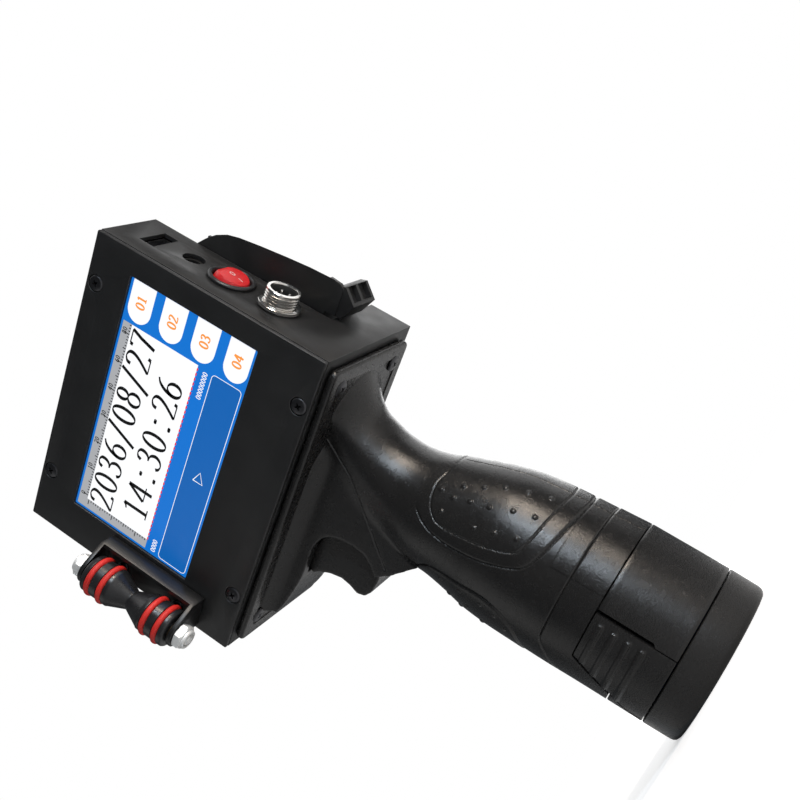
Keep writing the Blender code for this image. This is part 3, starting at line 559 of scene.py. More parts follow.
def floor():
    bm = bmesh.new()
    bmesh.ops.create_grid(bm, x_segments=1, y_segments=1, size=12.0)
    obj = from_bmesh("floor", bm)
    made = principled("pale_floor", (0.8, 0.8, 0.8), 0.7, specular=0.1)
    tree, shader = parts_of(made)
    seen = add(tree, "LightPath").outputs["Is Camera Ray"]
    place = add(tree, "TexCoord").outputs["Object"]
    reach = add(tree, "VectorMath", {0: place}, operation='LENGTH').outputs["Value"]
    strength = remap(tree, reach, 0.15, 0.7, 0.55, 1.05)
    glow = add(tree, "Math", {0: seen, 1: strength}, operation='MULTIPLY').outputs["Value"]
    feed(tree, shader, {"Emission Color": (1.0, 1.0, 1.0, 1.0), "Emission Strength": glow})
    obj.data.materials.append(made)


bpy.context.scene.view_settings.view_transform = 'Standard'
camera()
studio()
floor()


# ---- head: case, panel, screen ---------------------------------------------------------------
SCREEN_LOW, SCREEN_HIGH = corners("screen_glass")
SCREEN_GAP = 0.3                # between the glass and the panel's opening
SCREW_HOLE = 3.15               # radius of the panel's screw holes
FILM = 0.03                     # thickness of each drawn layer of the display


def head():
    softened("head_case", "main_case", 0.35, 2, 50.0, POWDER, "case_black")
    low, high = corners("front_panel")
    gap = SCREEN_GAP
    outlines = [rounded_rectangle((low.x, low.z), (high.x, high.z), 0.5, 3),
                rounded_rectangle((SCREEN_LOW.x - gap, SCREEN_LOW.z - gap),
                                  (SCREEN_HIGH.x + gap, SCREEN_HIGH.z + gap), 0.4, 3)]
    for i in range(1, 5):
        at = middle(f"face_screw_{i}")
        outlines.append(circle(at.x, at.z, SCREW_HOLE))
    panel = plate("face_plate", outlines, (low.y, high.y), '-Y', 0.3)
    finished(panel, POWDER, "case_black", "front_panel")


def layer(level):
    """Front and back of a drawn layer, level 0 lowest."""
    front = SCREEN_LOW.y - FILM * (level + 1)
    return front, front + FILM * 0.9


def on_screen(points):
    """Screen places (right, down) from the top left corner to (x, z)."""
    return [(SCREEN_LOW.x + u, SCREEN_HIGH.z - v) for u, v in points]


def screen_patch(name, outline, level, mat):
    obj = plate(name, [on_screen(outline)], layer(level), '-Y')
    return finished(obj, mat, "screen_glass")


def tile(u0, v0, u1, v1):
    return [(u0, v1), (u1, v1), (u1, v0), (u0, v0)]


def pen(name, lines, place, thin, thick):
    """Flat strokes along lines of (right, down) points, thick where they run upright.

    place gives the front and the back point for a point of the drawing.
    """
    verts, faces = [], []
    for line in lines:
        line = [Vector(p) for p in line]
        start = len(verts)
        last = len(line) - 1
        for i, p in enumerate(line):
            along = (line[min(i + 1, last)] - line[max(i - 1, 0)]).normalized()
            half = (thin + (thick - thin) * abs(along.y) ** 1.5) / 2
            side = Vector((-along.y, along.x)) * half
            verts += [*place(p + side), *place(p - side)]
        for i in range(last):
            a, b = start + 4 * i, start + 4 * (i + 1)
            faces += [(a, b, b + 2, a + 2), (a + 1, a + 3, b + 3, b + 1),
                      (a, a + 1, b + 1, b), (a + 2, b + 2, b + 3, a + 3)]
        end = start + 4 * last
        faces += [(start, start + 2, start + 3, start + 1), (end, end + 1, end + 3, end + 2)]
    return outward(from_lists(name, verts, faces))


def strokes(name, lines, level, mat, thin=0.28, thick=0.9):
    """Pen strokes on one layer of the display."""
    front, back = layer(level)

    def place(p):
        x, z = SCREEN_LOW.x + p.x, SCREEN_HIGH.z - p.y
        return (x, front, z), (x, back, z)

    return finished(pen(name, lines, place, thin, thick), mat, "screen_glass")


def curve_through(points, steps=6):
    """Smooth line through points (Catmull-Rom)."""
    result = []
    last = len(points) - 1
    for i in range(last):
        before, a = Vector(points[max(i - 1, 0)]), Vector(points[i])
        b, after = Vector(points[i + 1]), Vector(points[min(i + 2, last)])
        for k in range(steps):
            t = k / steps
            result.append(tuple(0.5 * (2 * a + (b - before) * t
                                       + (2 * before - 5 * a + 4 * b - after) * t * t
                                       + (3 * a - before - 3 * b + after) * t ** 3)))
    return result + [tuple(points[-1])]


# Numerals of plain strokes in a cell 0.6 wide and 1 high
NUMERALS = {
    '0': [ring(0.3, 0.5, 0.215, 0.465)],
    '1': [curve_through([(0.13, 0.85), (0.24, 0.89), (0.32, 0.97)]), [(0.32, 0.97), (0.32, 0.04)],
          [(0.13, 0.03), (0.51, 0.03)]],
    '2': [curve_through([(0.08, 0.76), (0.12, 0.9), (0.28, 0.97), (0.44, 0.89), (0.47, 0.73),
                         (0.38, 0.5), (0.22, 0.26), (0.06, 0.05)]),
          [(0.05, 0.045), (0.53, 0.045)], [(0.53, 0.04), (0.56, 0.15)]],
    '3': [curve_through([(0.1, 0.8), (0.16, 0.93), (0.3, 0.97), (0.43, 0.88), (0.43, 0.7),
                         (0.34, 0.57), (0.2, 0.53)]),
          curve_through([(0.2, 0.53), (0.4, 0.48), (0.49, 0.3), (0.43, 0.12), (0.28, 0.03),
                         (0.13, 0.07), (0.06, 0.18)])],
    '4': [[(0.4, 0.97), (0.04, 0.3)], [(0.04, 0.29), (0.58, 0.29)], [(0.41, 0.97), (0.41, 0.02)]],
    '6': [curve_through([(0.46, 0.95), (0.3, 0.86), (0.16, 0.64), (0.09, 0.34)]),
          ring(0.3, 0.3, 0.205, 0.27)],
    '7': [[(0.07, 0.95), (0.54, 0.95)], [(0.54, 0.95), (0.4, 0.6), (0.25, 0.02)],
          [(0.07, 0.95), (0.05, 0.84)]],
    '8': [ring(0.3, 0.745, 0.165, 0.225), ring(0.3, 0.27, 0.21, 0.245)],
    '/': [[(0.52, 1.02), (0.06, -0.18)]],
    ':': [ring(0.3, 0.66, 0.03, 0.03), ring(0.3, 0.1, 0.03, 0.03)],
}


def number_lines(text, left, baseline, height, pitch):
    """Strokes of a row of numerals in screen places."""
    lines = []
    for i, mark in enumerate(text):
        for line in NUMERALS[mark]:
            lines.append([(left + i * pitch + u * height, baseline - v * height) for u, v in line])
    return lines


TICK_PITCH, DASH_PITCH = 1.15, 1.9
TAB_TOPS = (1.1, 15.1, 29.1, 43.1)
TAB_LEFT, TAB_HALF = 85.3, 5.0  # where a tab's round end starts, and half of its height


def tick_start(i, short):
    """Every tenth tick of a ruler starts farthest out, and every fifth farther than the rest."""
    return short - (1.3 if i % 10 == 0 else 0.6 if i % 5 == 0 else 0.0)


def screen():
    width = SCREEN_HIGH.x - SCREEN_LOW.x
    back = plate("screen_base", [rounded_rectangle((SCREEN_LOW.x, SCREEN_LOW.z),
                                                   (SCREEN_HIGH.x, SCREEN_HIGH.z), 0.3, 2)],
                 (SCREEN_LOW.y, SCREEN_HIGH.y), '-Y')
    finished(back, LCD_BLUE, "screen_glass", "screen_glass")

    screen_patch("screen_ruler_top", tile(0.8, 0.9, 79.0, 4.8), 0, LCD_GREY)
    screen_patch("screen_ruler_side", tile(0.8, 4.8, 4.6, 34.3), 0, LCD_GREY)
    screen_patch("screen_preview", tile(4.6, 4.8, 79.0, 34.2), 0, LCD_WHITE)
    ticks = []
    for i in range(64):
        u = 6.0 + i * TICK_PITCH
        ticks.append([(u, 4.7), (u, tick_start(i, 3.9))])
    for i in range(25):
        v = 5.6 + i * TICK_PITCH
        ticks.append([(4.5, v), (tick_start(i, 3.7), v)])
    strokes("screen_ticks", ticks, 1, LCD_BLACK, 0.34, 0.34)
    numbers = []
    for i, text in enumerate(("0", "10", "20", "30", "40", "60", "80")):
        numbers += number_lines(text, 5.4 + i * 11.5, 3.3, 1.9, 1.3)
    strokes("screen_ruler_numbers", numbers, 1, LCD_BLACK, 0.2, 0.3)
    strokes("screen_numerals", number_lines("2036/08/27", 5.0, 16.4, 11.1, 7.43)
            + number_lines("14:30:26", 9.9, 31.4, 11.1, 7.43), 1, LCD_BLACK, 0.5, 1.35)
    dashes = [[(4.7 + i * DASH_PITCH, 34.35), (5.8 + i * DASH_PITCH, 34.35)] for i in range(39)]
    strokes("screen_dashes", dashes, 1, LCD_RED, 0.5, 0.5)
    strokes("screen_status", number_lines("0000", 1.4, 38.7, 2.0, 1.32)
            + number_lines("00000000", 67.6, 38.7, 2.0, 1.32), 0, LCD_WHITE, 0.2, 0.3)
    panel = rounded_rectangle((0.9, 40.5), (79.0, 53.0), 1.4)
    screen_patch("screen_button", panel[::-1], 0, LCD_DEEP)
    strokes("screen_button_edge", [panel + [panel[0]]], 1, LCD_WHITE, 0.22, 0.22)
    strokes("screen_button_mark", [[(38.4, 45.0), (38.4, 49.2), (42.4, 47.1), (38.4, 45.0)]], 1,
            LCD_WHITE, 0.34, 0.34)
    labels = []
    for i, top in enumerate(TAB_TOPS, 1):
        outline = ring(TAB_LEFT, top + TAB_HALF, TAB_HALF, TAB_HALF, 90, 270, 15)
        outline += [(width, top), (width, top + 2 * TAB_HALF)]
        screen_patch(f"screen_tab_{i}", outline, 0, LCD_WHITE)
        labels += number_lines(f"0{i}", 85.6, top + 6.9, 3.9, 2.6)
    strokes("screen_tab_labels", labels, 1, LCD_ORANGE, 0.42, 0.75)


# ---- screws ----------------------------------------------------------------------------------
def machine_screw(name, node, at, axis, head=2.95, rise=0.45, length=6.5, shank=1.35):
    """Cross-recessed oval head screw. at is the middle of the seat, axis points out of the head."""
    profile = [(0.0, rise)]
    for i in range(1, 7):
        turn = math.pi / 2 * i / 6
        profile.append(((head - 0.25) * math.sin(turn), rise * math.cos(turn) * 0.9 + 0.05))
    profile += [(head, -0.12), (head, -0.3), (shank, -1.7), (shank, -length), (0.0, -length)]
    screw = lathe(name, profile, steps=48)
    for turn in (0.0, math.pi / 2):
        wing = block(name + "_wing", (-head * 0.6, -0.36, -1.3), (head * 0.6, 0.36, 2.0))
        for v in wing.data.vertices:
            if v.co.z < 0:
                v.co.x *= 0.35
                v.co.y *= 0.6
        wing.data.transform(Matrix.Rotation(turn + 0.6, 4, 'Z'))
        boolean(screw, wing, 'DIFFERENCE')
    screw.data.transform(Matrix(TURNS[axis].tolist()).to_4x4())
    screw.data.transform(Matrix.Translation(Vector(at) * MM))
    shade(screw, 30.0)
    return finished(screw, SCREW_BLACK, "black_steel", node)


def screws():
    face = corner("front_panel", 0).y
    for i in range(1, 5):
        at = middle(f"face_screw_{i}")
        machine_screw(f"panel_screw_{i}", f"face_screw_{i}", (at.x, face + 0.15, at.z), '-Y')
        at = middle(f"flange_screw_{i}")
        under = corner("handle_flange", 0).z
        machine_screw(f"mount_screw_{i}", f"flange_screw_{i}", (at.x, at.y, under - 0.2), '-Z',
                      head=3.1, rise=0.5)
    for i in (1, 2):
        at = middle(f"bracket_screw_{i}")
        machine_screw(f"arm_screw_{i}", f"bracket_screw_{i}",
                      (at.x, corner(f"bracket_screw_{i}", 0).y + 0.1, at.z), '-Y',
                      head=2.2, rise=0.4, length=4.6, shank=1.1)


# ---- rear ports ------------------------------------------------------------------------------
ROCKER_BALL, ROCKER_SHIFT = 6.6, -1.6   # the cap is rounded about the rocking axis
# Rocker seen along Y: places up from its middle, and how far each stands out of the wall
ROCKER_FACE = [(-6.4, 0.5), (-6.0, 1.05), (-3.4, 1.75), (0.5, 2.3), (3.2, 2.5), (4.5, 2.3), (5.0, 1.6),
               (6.2, -2.5)]


def rocker(wall, y, z):
    """Round rocker tipped to its lower end, with a ring and a bar printed on it."""
    low = [(wall - 4.0, z + ROCKER_FACE[-1][0]), (wall - 4.0, z + ROCKER_FACE[0][0])]
    cap = plate("rocker_cap", [low + [(wall + out, z + up) for up, out in ROCKER_FACE]], (y - 8, y + 8),
                '-Y')
    # the round rim clears the bezel all the way
    ball = ring(0.0, ROCKER_SHIFT, ROCKER_BALL, ROCKER_BALL, 90, -90, 30)
    boolean(cap, lathe("rocker_ball", ball, (wall, y, z), 'X', sharp=80.0), 'INTERSECT')
    bevelled(cap, 0.4, 3, 40.0)
    finished(cap, ROCKER_RED, "red_plastic", "switch_rocker", body="switch_rocker")

    def place(p):
        out = wall + float(np.interp(-p.y, *zip(*ROCKER_FACE)))
        return (out + 0.06, y + p.x, z - p.y), (out - 0.12, y + p.x, z - p.y)

    marks = pen("rocker_marks", [ring(0.2, -0.5, 0.62, 1.05), [(0.0, 2.4), (0.0, 3.4), (0.0, 4.4)]],
                place, 0.17, 0.17)
    finished(marks, MARK_WHITE, "red_plastic", body="switch_rocker")


def contact(name, low, high, edge):
    """Gold strip between two corners."""
    finished(bevelled(block(name, low, high), edge, 1), GOLD, "bronze")


def ports():
    wall = corner("main_case", 1).x
    at = middle("connector_shell")
    centre = (wall, at.y, at.z)
    barrel = [(4.75, 6.75), (4.85, 6.9), (5.75, 6.9), (5.95, 6.7), (5.95, 6.2)]
    for i in range(4):
        top = 6.0 - i * 0.95
        barrel += [(5.55, top - 0.12), (5.55, top - 0.3), (6.0, top - 0.58), (6.0, top - 0.78)]
    barrel += [(5.5, 2.1), (5.5, 1.95), (7.2, 1.9), (7.55, 1.65), (7.6, 0.7), (7.35, 0.32),
               (6.0, 0.3), (6.0, -12.8), (4.75, -12.8)]
    shell = lathe("connector_barrel", barrel, centre, 'X')
    finished(shell, CHROME, "connector_chrome", "connector_shell")
    core = lathe("connector_core", [(0.0, 2.4), (4.4, 2.4), (4.45, 6.3), (4.55, 6.45), (4.7, 6.3),
                                    (4.7, -12.3), (0.0, -12.3)], centre, 'X')
    boolean(core, block("keyway", (wall + 1.0, at.y - 0.8, at.z + 2.9), (wall + 4.0, at.y + 0.8, at.z + 4.4)),
            'DIFFERENCE')
    finished(core, DARK, "cover_black", "connector_insert")
    for i in range(4):
        turn = math.radians(45 + 90 * i)
        y, z = at.y + 2.3 * math.cos(turn), at.z + 2.3 * math.sin(turn)
        pin = lathe(f"connector_pin_{i + 1}", [(0.0, 5.6), (0.35, 5.5), (0.55, 5.2), (0.55, 2.3),
                                               (0.0, 2.3)], (wall, y, z), 'X', 24)
        finished(pin, CHROME, "connector_chrome")

    at = middle("switch_housing")
    bezel = [(0.0, -9.0), (6.85, -9.0), (6.9, 0.6), (7.05, 1.1), (7.4, 1.4), (8.0, 1.35),
             (8.4, 1.05), (8.55, 0.65), (8.5, 0.32), (7.5, 0.3), (7.5, -12.0), (0.0, -12.0)]
    ring_piece = lathe("switch_bezel", bezel, (wall, at.y, at.z), 'X')
    finished(ring_piece, BEZEL, "cover_black", "switch_housing")
    rocker(wall, at.y, at.z)

    usb = middle("usb_socket")
    inner = corner("usb_socket", 1).x
    for i, y in enumerate((-3.6, -1.2, 1.2, 3.6)):
        contact(f"usb_contact_{i + 1}", (inner - 9.0, usb.y + y - 0.45, usb.z - 0.02),
                (inner - 2.6, usb.y + y + 0.45, usb.z + 0.12), 0.04)


# ---- cartridge bay and cover -----------------------------------------------------------------
def bay():
    softened("cover_shell", "clamp_cover", 0.4, 3, 30.0, COVER, "cover_black", "clamp_cover")
    softened("cartridge_body", "ink_cartridge", 0.6, 3, 30.0, COVER, "cover_black")
    low = corner("ink_cartridge", 0)
    contact("nozzle_strip", (low.x - 0.18, low.y + 8.2, 171.2), (low.x - 0.02, low.y + 12.2, 196.8), 0.05)
    softened("nose_frame", "nose_plate", 0.3, 2, 40.0, BRUSHED, "zinc_steel")


# ---- guide roller ----------------------------------------------------------------------------
ROLLER_MIDDLE = middle("roller_core").z
TYRE_MIDDLE, TYRE_HALF = 6.75, 1.15     # radius to the middle of an O-ring's round section, its radius


def hexagon(name, centre, radius, span, hole):
    """Hexagon lock nut along Z, its round collar away from the roller."""
    low, high = span
    collar = radius * 0.72
    out = 1 if high > ROLLER_MIDDLE else -1
    seat, tip = (low, high) if out > 0 else (high, low)
    sides = 144
    angles = np.arange(sides) * 2 * np.pi / sides
    flats = radius * np.cos(np.pi / 6) / np.cos(np.mod(angles, np.pi / 3) - np.pi / 6)
    tall = abs(tip - seat)
    rows = [(hole, 0.0), (radius * 0.92, 0.0), (radius, 0.3), (radius, tall * 0.58),
            (radius * 0.88, tall * 0.7), (collar * 1.06, tall * 0.74), (collar * 1.06, tall * 0.88),
            (collar * 1.0, tall * 0.97), (collar * 0.92, tall), (hole * 1.42, tall),
            (hole * 1.38, tall * 0.72), (hole, tall * 0.7)]
    verts = []
    for reach, up in rows:
        r = np.minimum(reach, flats) if reach > collar * 1.1 else np.full(sides, reach)
        z = np.full(sides, seat + out * up)
        verts.append(np.stack([centre[0] + r * np.cos(angles), centre[1] + r * np.sin(angles), z], 1))
    nut = from_lists(name, np.concatenate(verts), walls(len(rows), sides))
    return shade(outward(nut), 18.0)


def roller():
    softened("bracket_sheet", "roller_bracket", 0.3, 2, 40.0, BRACKET, "case_black")
    x, y, z = middle("roller_core")
    upper = [(3.8, 19.4), (6.3, 19.4), (6.9, 19.1), (7.2, 18.6), (7.2, 17.3), (6.9, 17.1),
             (5.6, 17.0), (5.6, 14.8), (6.9, 14.7), (7.2, 14.5), (7.2, 11.7), (6.9, 11.5),
             (5.6, 11.4), (5.6, 9.2), (6.9, 9.1), (7.2, 8.9), (7.2, 7.6), (6.9, 7.1), (4.0, 0.35),
             (3.9, 0.12)]
    lower = [(r, -h) for r, h in reversed(upper)]
    bore = [(3.8, -13.6), (2.4, -13.6), (2.4, 13.6), (3.8, 13.6)]
    core = lathe("roller_body", upper + lower + bore, (x, y, z), 'Z', sharp=32.0)
    finished(core, ROLLER_BLACK, "handle_black", "roller_core", body="roller")
    for i in range(1, 5):
        section = circle(TYRE_MIDDLE, 0.0, TYRE_HALF, 16)[::-1]
        tyre = lathe(f"rubber_ring_{i}", section, tuple(middle(f"o_ring_{i}")), 'Z', sharp=80.0)
        finished(tyre, RING_RED, "red_rubber", f"o_ring_{i}", body="roller")

    low, high = corner("roller_shaft", 0).z + 0.8, corner("roller_shaft", 1).z - 0.8
    shaft = lathe("shaft_rod", [(0.0, high), (1.3, high), (1.95, high - 0.6), (1.95, low + 0.6),
                                (1.3, low), (0.0, low)], (x, y, 0), 'Z', 48)
    finished(shaft, ZINC, "zinc_steel", "roller_shaft")
    for name, node in (("nut_lower", "shaft_nut_lower"), ("nut_upper", "shaft_nut_upper")):
        nut = hexagon(name, (x, y), 4.75, [end.z for end in corners(node)], 2.05)
        finished(nut, ZINC, "zinc_steel", node)


# ---- grip ------------------------------------------------------------------------------------
# Grip sections: height, forward shift of the centre, half width across X, half width across Y
GRIP = np.array([(143.4, 0.0, 26.8, 20.1), (142.7, 0.0, 25.2, 19.5), (141.6, -0.1, 23.1, 18.7),
                 (139.6, -0.5, 20.5, 17.6), (136.0, -1.8, 18.4, 16.9), (129.0, -3.6, 17.2, 16.5),
                 (121.0, -4.9, 16.8, 16.4), (113.0, -5.5, 17.6, 17.1), (106.0, -5.3, 19.3, 18.4),
                 (100.0, -4.4, 20.8, 19.8), (94.0, -3.3, 21.9, 21.1), (86.0, -2.4, 23.8, 22.8),
                 (78.0, -2.0, 25.6, 24.7), (70.0, -1.7, 26.4, 25.8), (58.0, -1.2, 26.9, 26.6),
                 (46.0, -0.8, 27.2, 27.0), (36.0, -0.3, 27.3, 27.3), (20.0, 0.0, 27.3, 27.3)])
SEAM_Z, STEP_Z = 39.0, 24.3     # joint line between grip and pack: rear and sides, and front
HALF_WEB = 13.5                 # half thickness of the trigger housing
HOUSING_JOINT = [(4.5, 144.0), (-3.8, 131.0), (-28.5, 107.0)]   # (x, z) line on both sides
FLARE_Z, FLARE_RISE, FLARE_OUT = 137.0, 6.4, 4.6    # the housing's sides curve out to the flange
DROP = 146.0                    # heights below are given down from the head's bottom


def grip_section(z):
    """Centre shift and half widths at each height, smoothly through the sections."""
    table = GRIP[::-1]
    heights = table[:, 0]
    z = np.clip(z, heights[0], heights[-1])
    index = np.clip(np.searchsorted(heights, z, side='right') - 1, 0, len(heights) - 2)
    slopes = np.gradient(table[:, 1:], heights, axis=0)
    step = heights[index + 1] - heights[index]
    t = ((z - heights[index]) / step)[..., None]
    a, b = table[index, 1:], table[index + 1, 1:]
    sa, sb = slopes[index] * step[..., None], slopes[index + 1] * step[..., None]
    mixed = ((2 * t ** 3 - 3 * t ** 2 + 1) * a + (t ** 3 - 2 * t ** 2 + t) * sa
             + (-2 * t ** 3 + 3 * t ** 2) * b + (t ** 3 - t ** 2) * sb)
    return mixed[..., 0], mixed[..., 1], mixed[..., 2]


def mirrored(points):
    """Outline given on one side as (drop, angle): the same points on the other side follow."""
    return points + [(drop, -angle) for drop, angle in reversed(points)]


REAR_OUTER = mirrored([(-38.6, -6), (-38.6, -28), (-37.8, -43), (-38.8, -58), (-41.7, -70), (-47.4, -83),
                       (-55, -88.5), (-66, -85), (-78, -76), (-82.7, -70), (-85.5, -55), (-87.8, -27),
                       (-88.8, -5)])
REAR_INNER = mirrored([(-44.6, -5), (-44.4, -25), (-43.3, -39), (-44.5, -55), (-47, -67), (-51.4, -76.5),
                       (-63.7, -74), (-77.2, -66), (-79.5, -58), (-81.3, -27), (-82.4, -4)])
REAR_DOTS = [(-46, -44), (-51.2, -48), (-56.9, -46), (-63.3, -44), (-70.4, -39), (-77.2, -36),
             (-52, -35), (-58, -30), (-64, -24), (-71, -20), (-78, -16),
             (-50, -63), (-62.4, -63), (-69, -59), (-75.9, -55)]
FRONT_PAD = [(-45.0, 180), (-46.5, 210), (-49.5, 228), (-52.5, 239), (-57, 243), (-61.7, 245.5),
             (-70.7, 252), (-76, 253), (-82.7, 249), (-88.3, 239), (-92.5, 217), (-94.5, 195)]
FRONT_PAD += [(drop, 360 - angle) for drop, angle in reversed(FRONT_PAD)]
FRONT_DOTS = [(-59, -124), (-62.7, -140), (-66.9, -118), (-70.4, -132), (-74.7, -115), (-80.2, -117),
              (-84.6, -126), (-67.5, -148), (-76.5, -143)]
CHEVRON = [(-96, 0), (-96, -108), (-96.6, -113), (-103, -136), (-106.3, -158), (-106.5, -180)]


def grip_relief(x, y, z):
    """Height of the moulded details over the plain grip, in millimetres."""
    shift, half_x, half_y = grip_section(z)
    radius = (half_x + half_y) / 2
    angle = np.arctan2(y, x - shift)
    drop = z - DROP
    height = np.zeros(z.shape)

    def away(turn, points, closed=True):
        """Distance over the skin to a line of (drop, angle) points."""
        unrolled = [(np.radians(a) * radius, d) for d, a in points]
        return line_distance(turn * radius, drop, unrolled, closed)

    def raised(turn, pad, near, rise, low, high):
        within = inside(np.degrees(turn), drop, [(a, d) for d, a in pad])
        return np.where(within, rise * smoothstep(near, low, high), 0.0)

    def dot(turn, d, a, rise, size):
        off = np.hypot((turn - np.radians(a)) * radius, drop - d)
        return rise * np.sqrt(np.clip(1 - (off / size) ** 2, 0, 1))

    outer = chaikin(REAR_OUTER)
    near = away(angle, outer)
    height += channel(near, 1.0, 0.42) + raised(angle, outer, near, 0.22, 0.1, 1.2)
    height += channel(away(angle, chaikin(REAR_INNER)), 0.9, 0.34)
    for d, a in REAR_DOTS + [(d, -a) for d, a in REAR_DOTS if a < -36]:
        height += dot(angle, d, a, 0.45, 0.85)

    full = np.mod(angle, 2 * np.pi)
    pad = chaikin(FRONT_PAD)
    near = away(full, pad)
    height += channel(near, 0.9, 0.5) + raised(full, pad, near, 0.3, 0.2, 1.4)
    for d, a in FRONT_DOTS:
        height += dot(full, d, a % 360, 0.4, 0.9) + dot(full, d, -a % 360, 0.4, 0.9)

    near = away(np.abs(angle), [(d, -a) for d, a in CHEVRON], False)
    height += channel(near, 0.8, 0.45)
    # the surface steps out a little below each ring line
    height += 0.18 * smoothstep(-drop, 88.6, 89.2) * (np.degrees(np.abs(angle)) < 60)
    height += 0.2 * smoothstep(-drop, 95.8, 96.4) * (np.degrees(np.abs(angle)) < 112)
    # parting line front and back
    height += channel(np.abs(y), 0.5, 0.25) * (np.abs(x) > 5)
    return height


def housing_outline():
    """Trigger housing from the side: a nose under the flange and an arched edge round the slot."""
    arch = curve_through([(-70.0, 138.4), (-64.0, 136.6), (-51.7, 134.4), (-42.0, 134.5), (-37.0, 134.3),
                          (-32.0, 132.4), (-29.2, 128.3), (-28.0, 122.0), (-28.6, 116.0),
                          (-31.6, 111.6), (-33.6, 109.4)], 4)
    return [(-6.0, 145.0), (-71.5, 145.0)] + arch + [(-29.8, 104.6), (-21.0, 97.0), (-6.0, 97.0)]


def grip_core():
    """Loft through the grip sections as a closed solid."""
    sides = 120
    heights = np.concatenate([np.arange(20.0, 132.0, 2.0), np.arange(132.0, 143.1, 0.4), [143.4, 145.0]])
    shift, half_x, half_y = grip_section(heights)
    verts = []
    for row, z in enumerate(heights):
        for k in range(sides):
            turn = 2 * math.pi * k / sides
            verts.append((shift[row] + half_x[row] * math.cos(turn), half_y[row] * math.sin(turn), z))
    faces = walls(len(heights), sides, closed=False)
    faces.append(tuple(reversed(range(sides))))
    top = (len(heights) - 1) * sides
    faces.append(tuple(range(top, top + sides)))
    return from_lists("grip_shell", verts, faces)


def prism(name, outline, low, high):
    """(x, z) outline extruded along Y."""
    return plate(name, [outline], (low, high), '-Y')


def grip():
    shell = grip_core()
    boolean(shell, prism("housing", housing_outline(), -HALF_WEB, HALF_WEB), 'UNION')
    slot = [(-75.0, 108.2), (-24.0, 108.2), (-21.0, 111.5), (-21.0, 141.6), (-49.5, 141.6),
            (-51.5, 130.0), (-75.0, 130.0)]
    boolean(shell, prism("slot", slot, -9.3, 9.3), 'DIFFERENCE')
    below = [(40.0, SEAM_Z), (-8.5, SEAM_Z), (-15.8, STEP_Z), (-40.0, STEP_Z), (-40.0, -10.0),
             (40.0, -10.0)]
    boolean(shell, prism("below", below, -40.0, 40.0), 'DIFFERENCE')
    boolean(shell, post("bore", 22.8, 0.0, 71.5), 'DIFFERENCE')
    voxels(shell, 0.5)

    x, y, z = places(shell.data)
    junction = smoothstep(z, 102.0, 108.0) * smoothstep(x, -34.0, -28.0) * smoothstep(-x, -12.0, -6.0)
    junction *= smoothstep(np.abs(y), 7.0, 10.5)
    weights = {"junction": junction, "neck": smoothstep(z, 100.0, 104.0)}
    for name, weight in weights.items():
        group = shell.vertex_groups.new(name=name)
        for i in np.nonzero(weight > 0.01)[0]:
            group.add([int(i)], float(weight[i]), 'REPLACE')
    relax(shell, 14, "junction")
    relax(shell, 4, "neck")
    return shell


def needs_detail(x, y, z):
    """Whether a point lies on the lower grip's skin or beside the housing's joint line."""
    if z < 108.5:
        return math.hypot(x, y) > 16.5
    aside = line_distance(np.array(x), np.array(z), HOUSING_JOINT)
    return aside < 1.6 and abs(y) > 9.0


def detail_grip(shell):
    """Refine the lower grip, then set every point exactly and add the moulded details."""
    bm = bmesh.new()
    bm.from_mesh(shell.data)
    fine = [e for e in bm.edges if all(needs_detail(*(v.co / MM)) for v in e.verts)]
    bmesh.ops.subdivide_edges(bm, edges=fine, cuts=1, use_grid_fill=True)
    bm.to_mesh(shell.data)
    bm.free()
    x, y, z = places(shell.data)
    shift, half_x, half_y = grip_section(z)
    reach = np.hypot((x - shift) / half_x, y / half_y)
    skin = (reach > 0.965) & (reach < 1.04) & (z < 107.5)
    exact = np.where(skin, smoothstep(-z, -107.0, -101.0), 0.0)
    ux, uy = (x - shift) / half_x / reach, y / half_y / reach
    x = x + exact * (shift + half_x * ux - x)
    y = y + exact * (half_y * uy - y)
    relief = grip_relief(x, y, z) * exact
    length = np.hypot(x - shift, y) + 1e-9
    x = x + relief * (x - shift) / length
    y = y + relief * y / length

    # in front of the joint line the neck flattens into the sides of the trigger housing
    behind = (x + 25.2) * 0.735 - (z - 110.0) * 0.678
    keep = np.maximum(smoothstep(behind, -4.0, 15.0), 1 - smoothstep(z, 101.0, 116.0))
    keep = np.maximum(keep, smoothstep(x, 6.0, 18.0))
    # and its sides curve out again where they meet the flange
    wide = np.maximum(np.abs(y) - HALF_WEB, 0.0)
    rise = np.clip((z - FLARE_Z) / FLARE_RISE, 0, 1) ** 2.2
    spread = FLARE_OUT * rise * smoothstep(-x, -4.0, 8.0)
    side = np.abs(y) > HALF_WEB - 0.7
    y = np.where(side, np.sign(y) * (np.minimum(np.abs(y), HALF_WEB) + np.maximum(wide * keep, spread)), y)
    # joint line between the housing and the neck
    seam = line_distance(x, z, HOUSING_JOINT)
    here = smoothstep(np.abs(y), 8.6, 9.6) * smoothstep(z, 105.5, 107.0)
    y = y + np.sign(y) * channel(seam, 1.0, 0.6) * here
    shell.data.vertices.foreach_set("co", (np.stack([x, y, z], 1) * MM).ravel())
    shell.data.update()
    return shade(shell, 60.0)


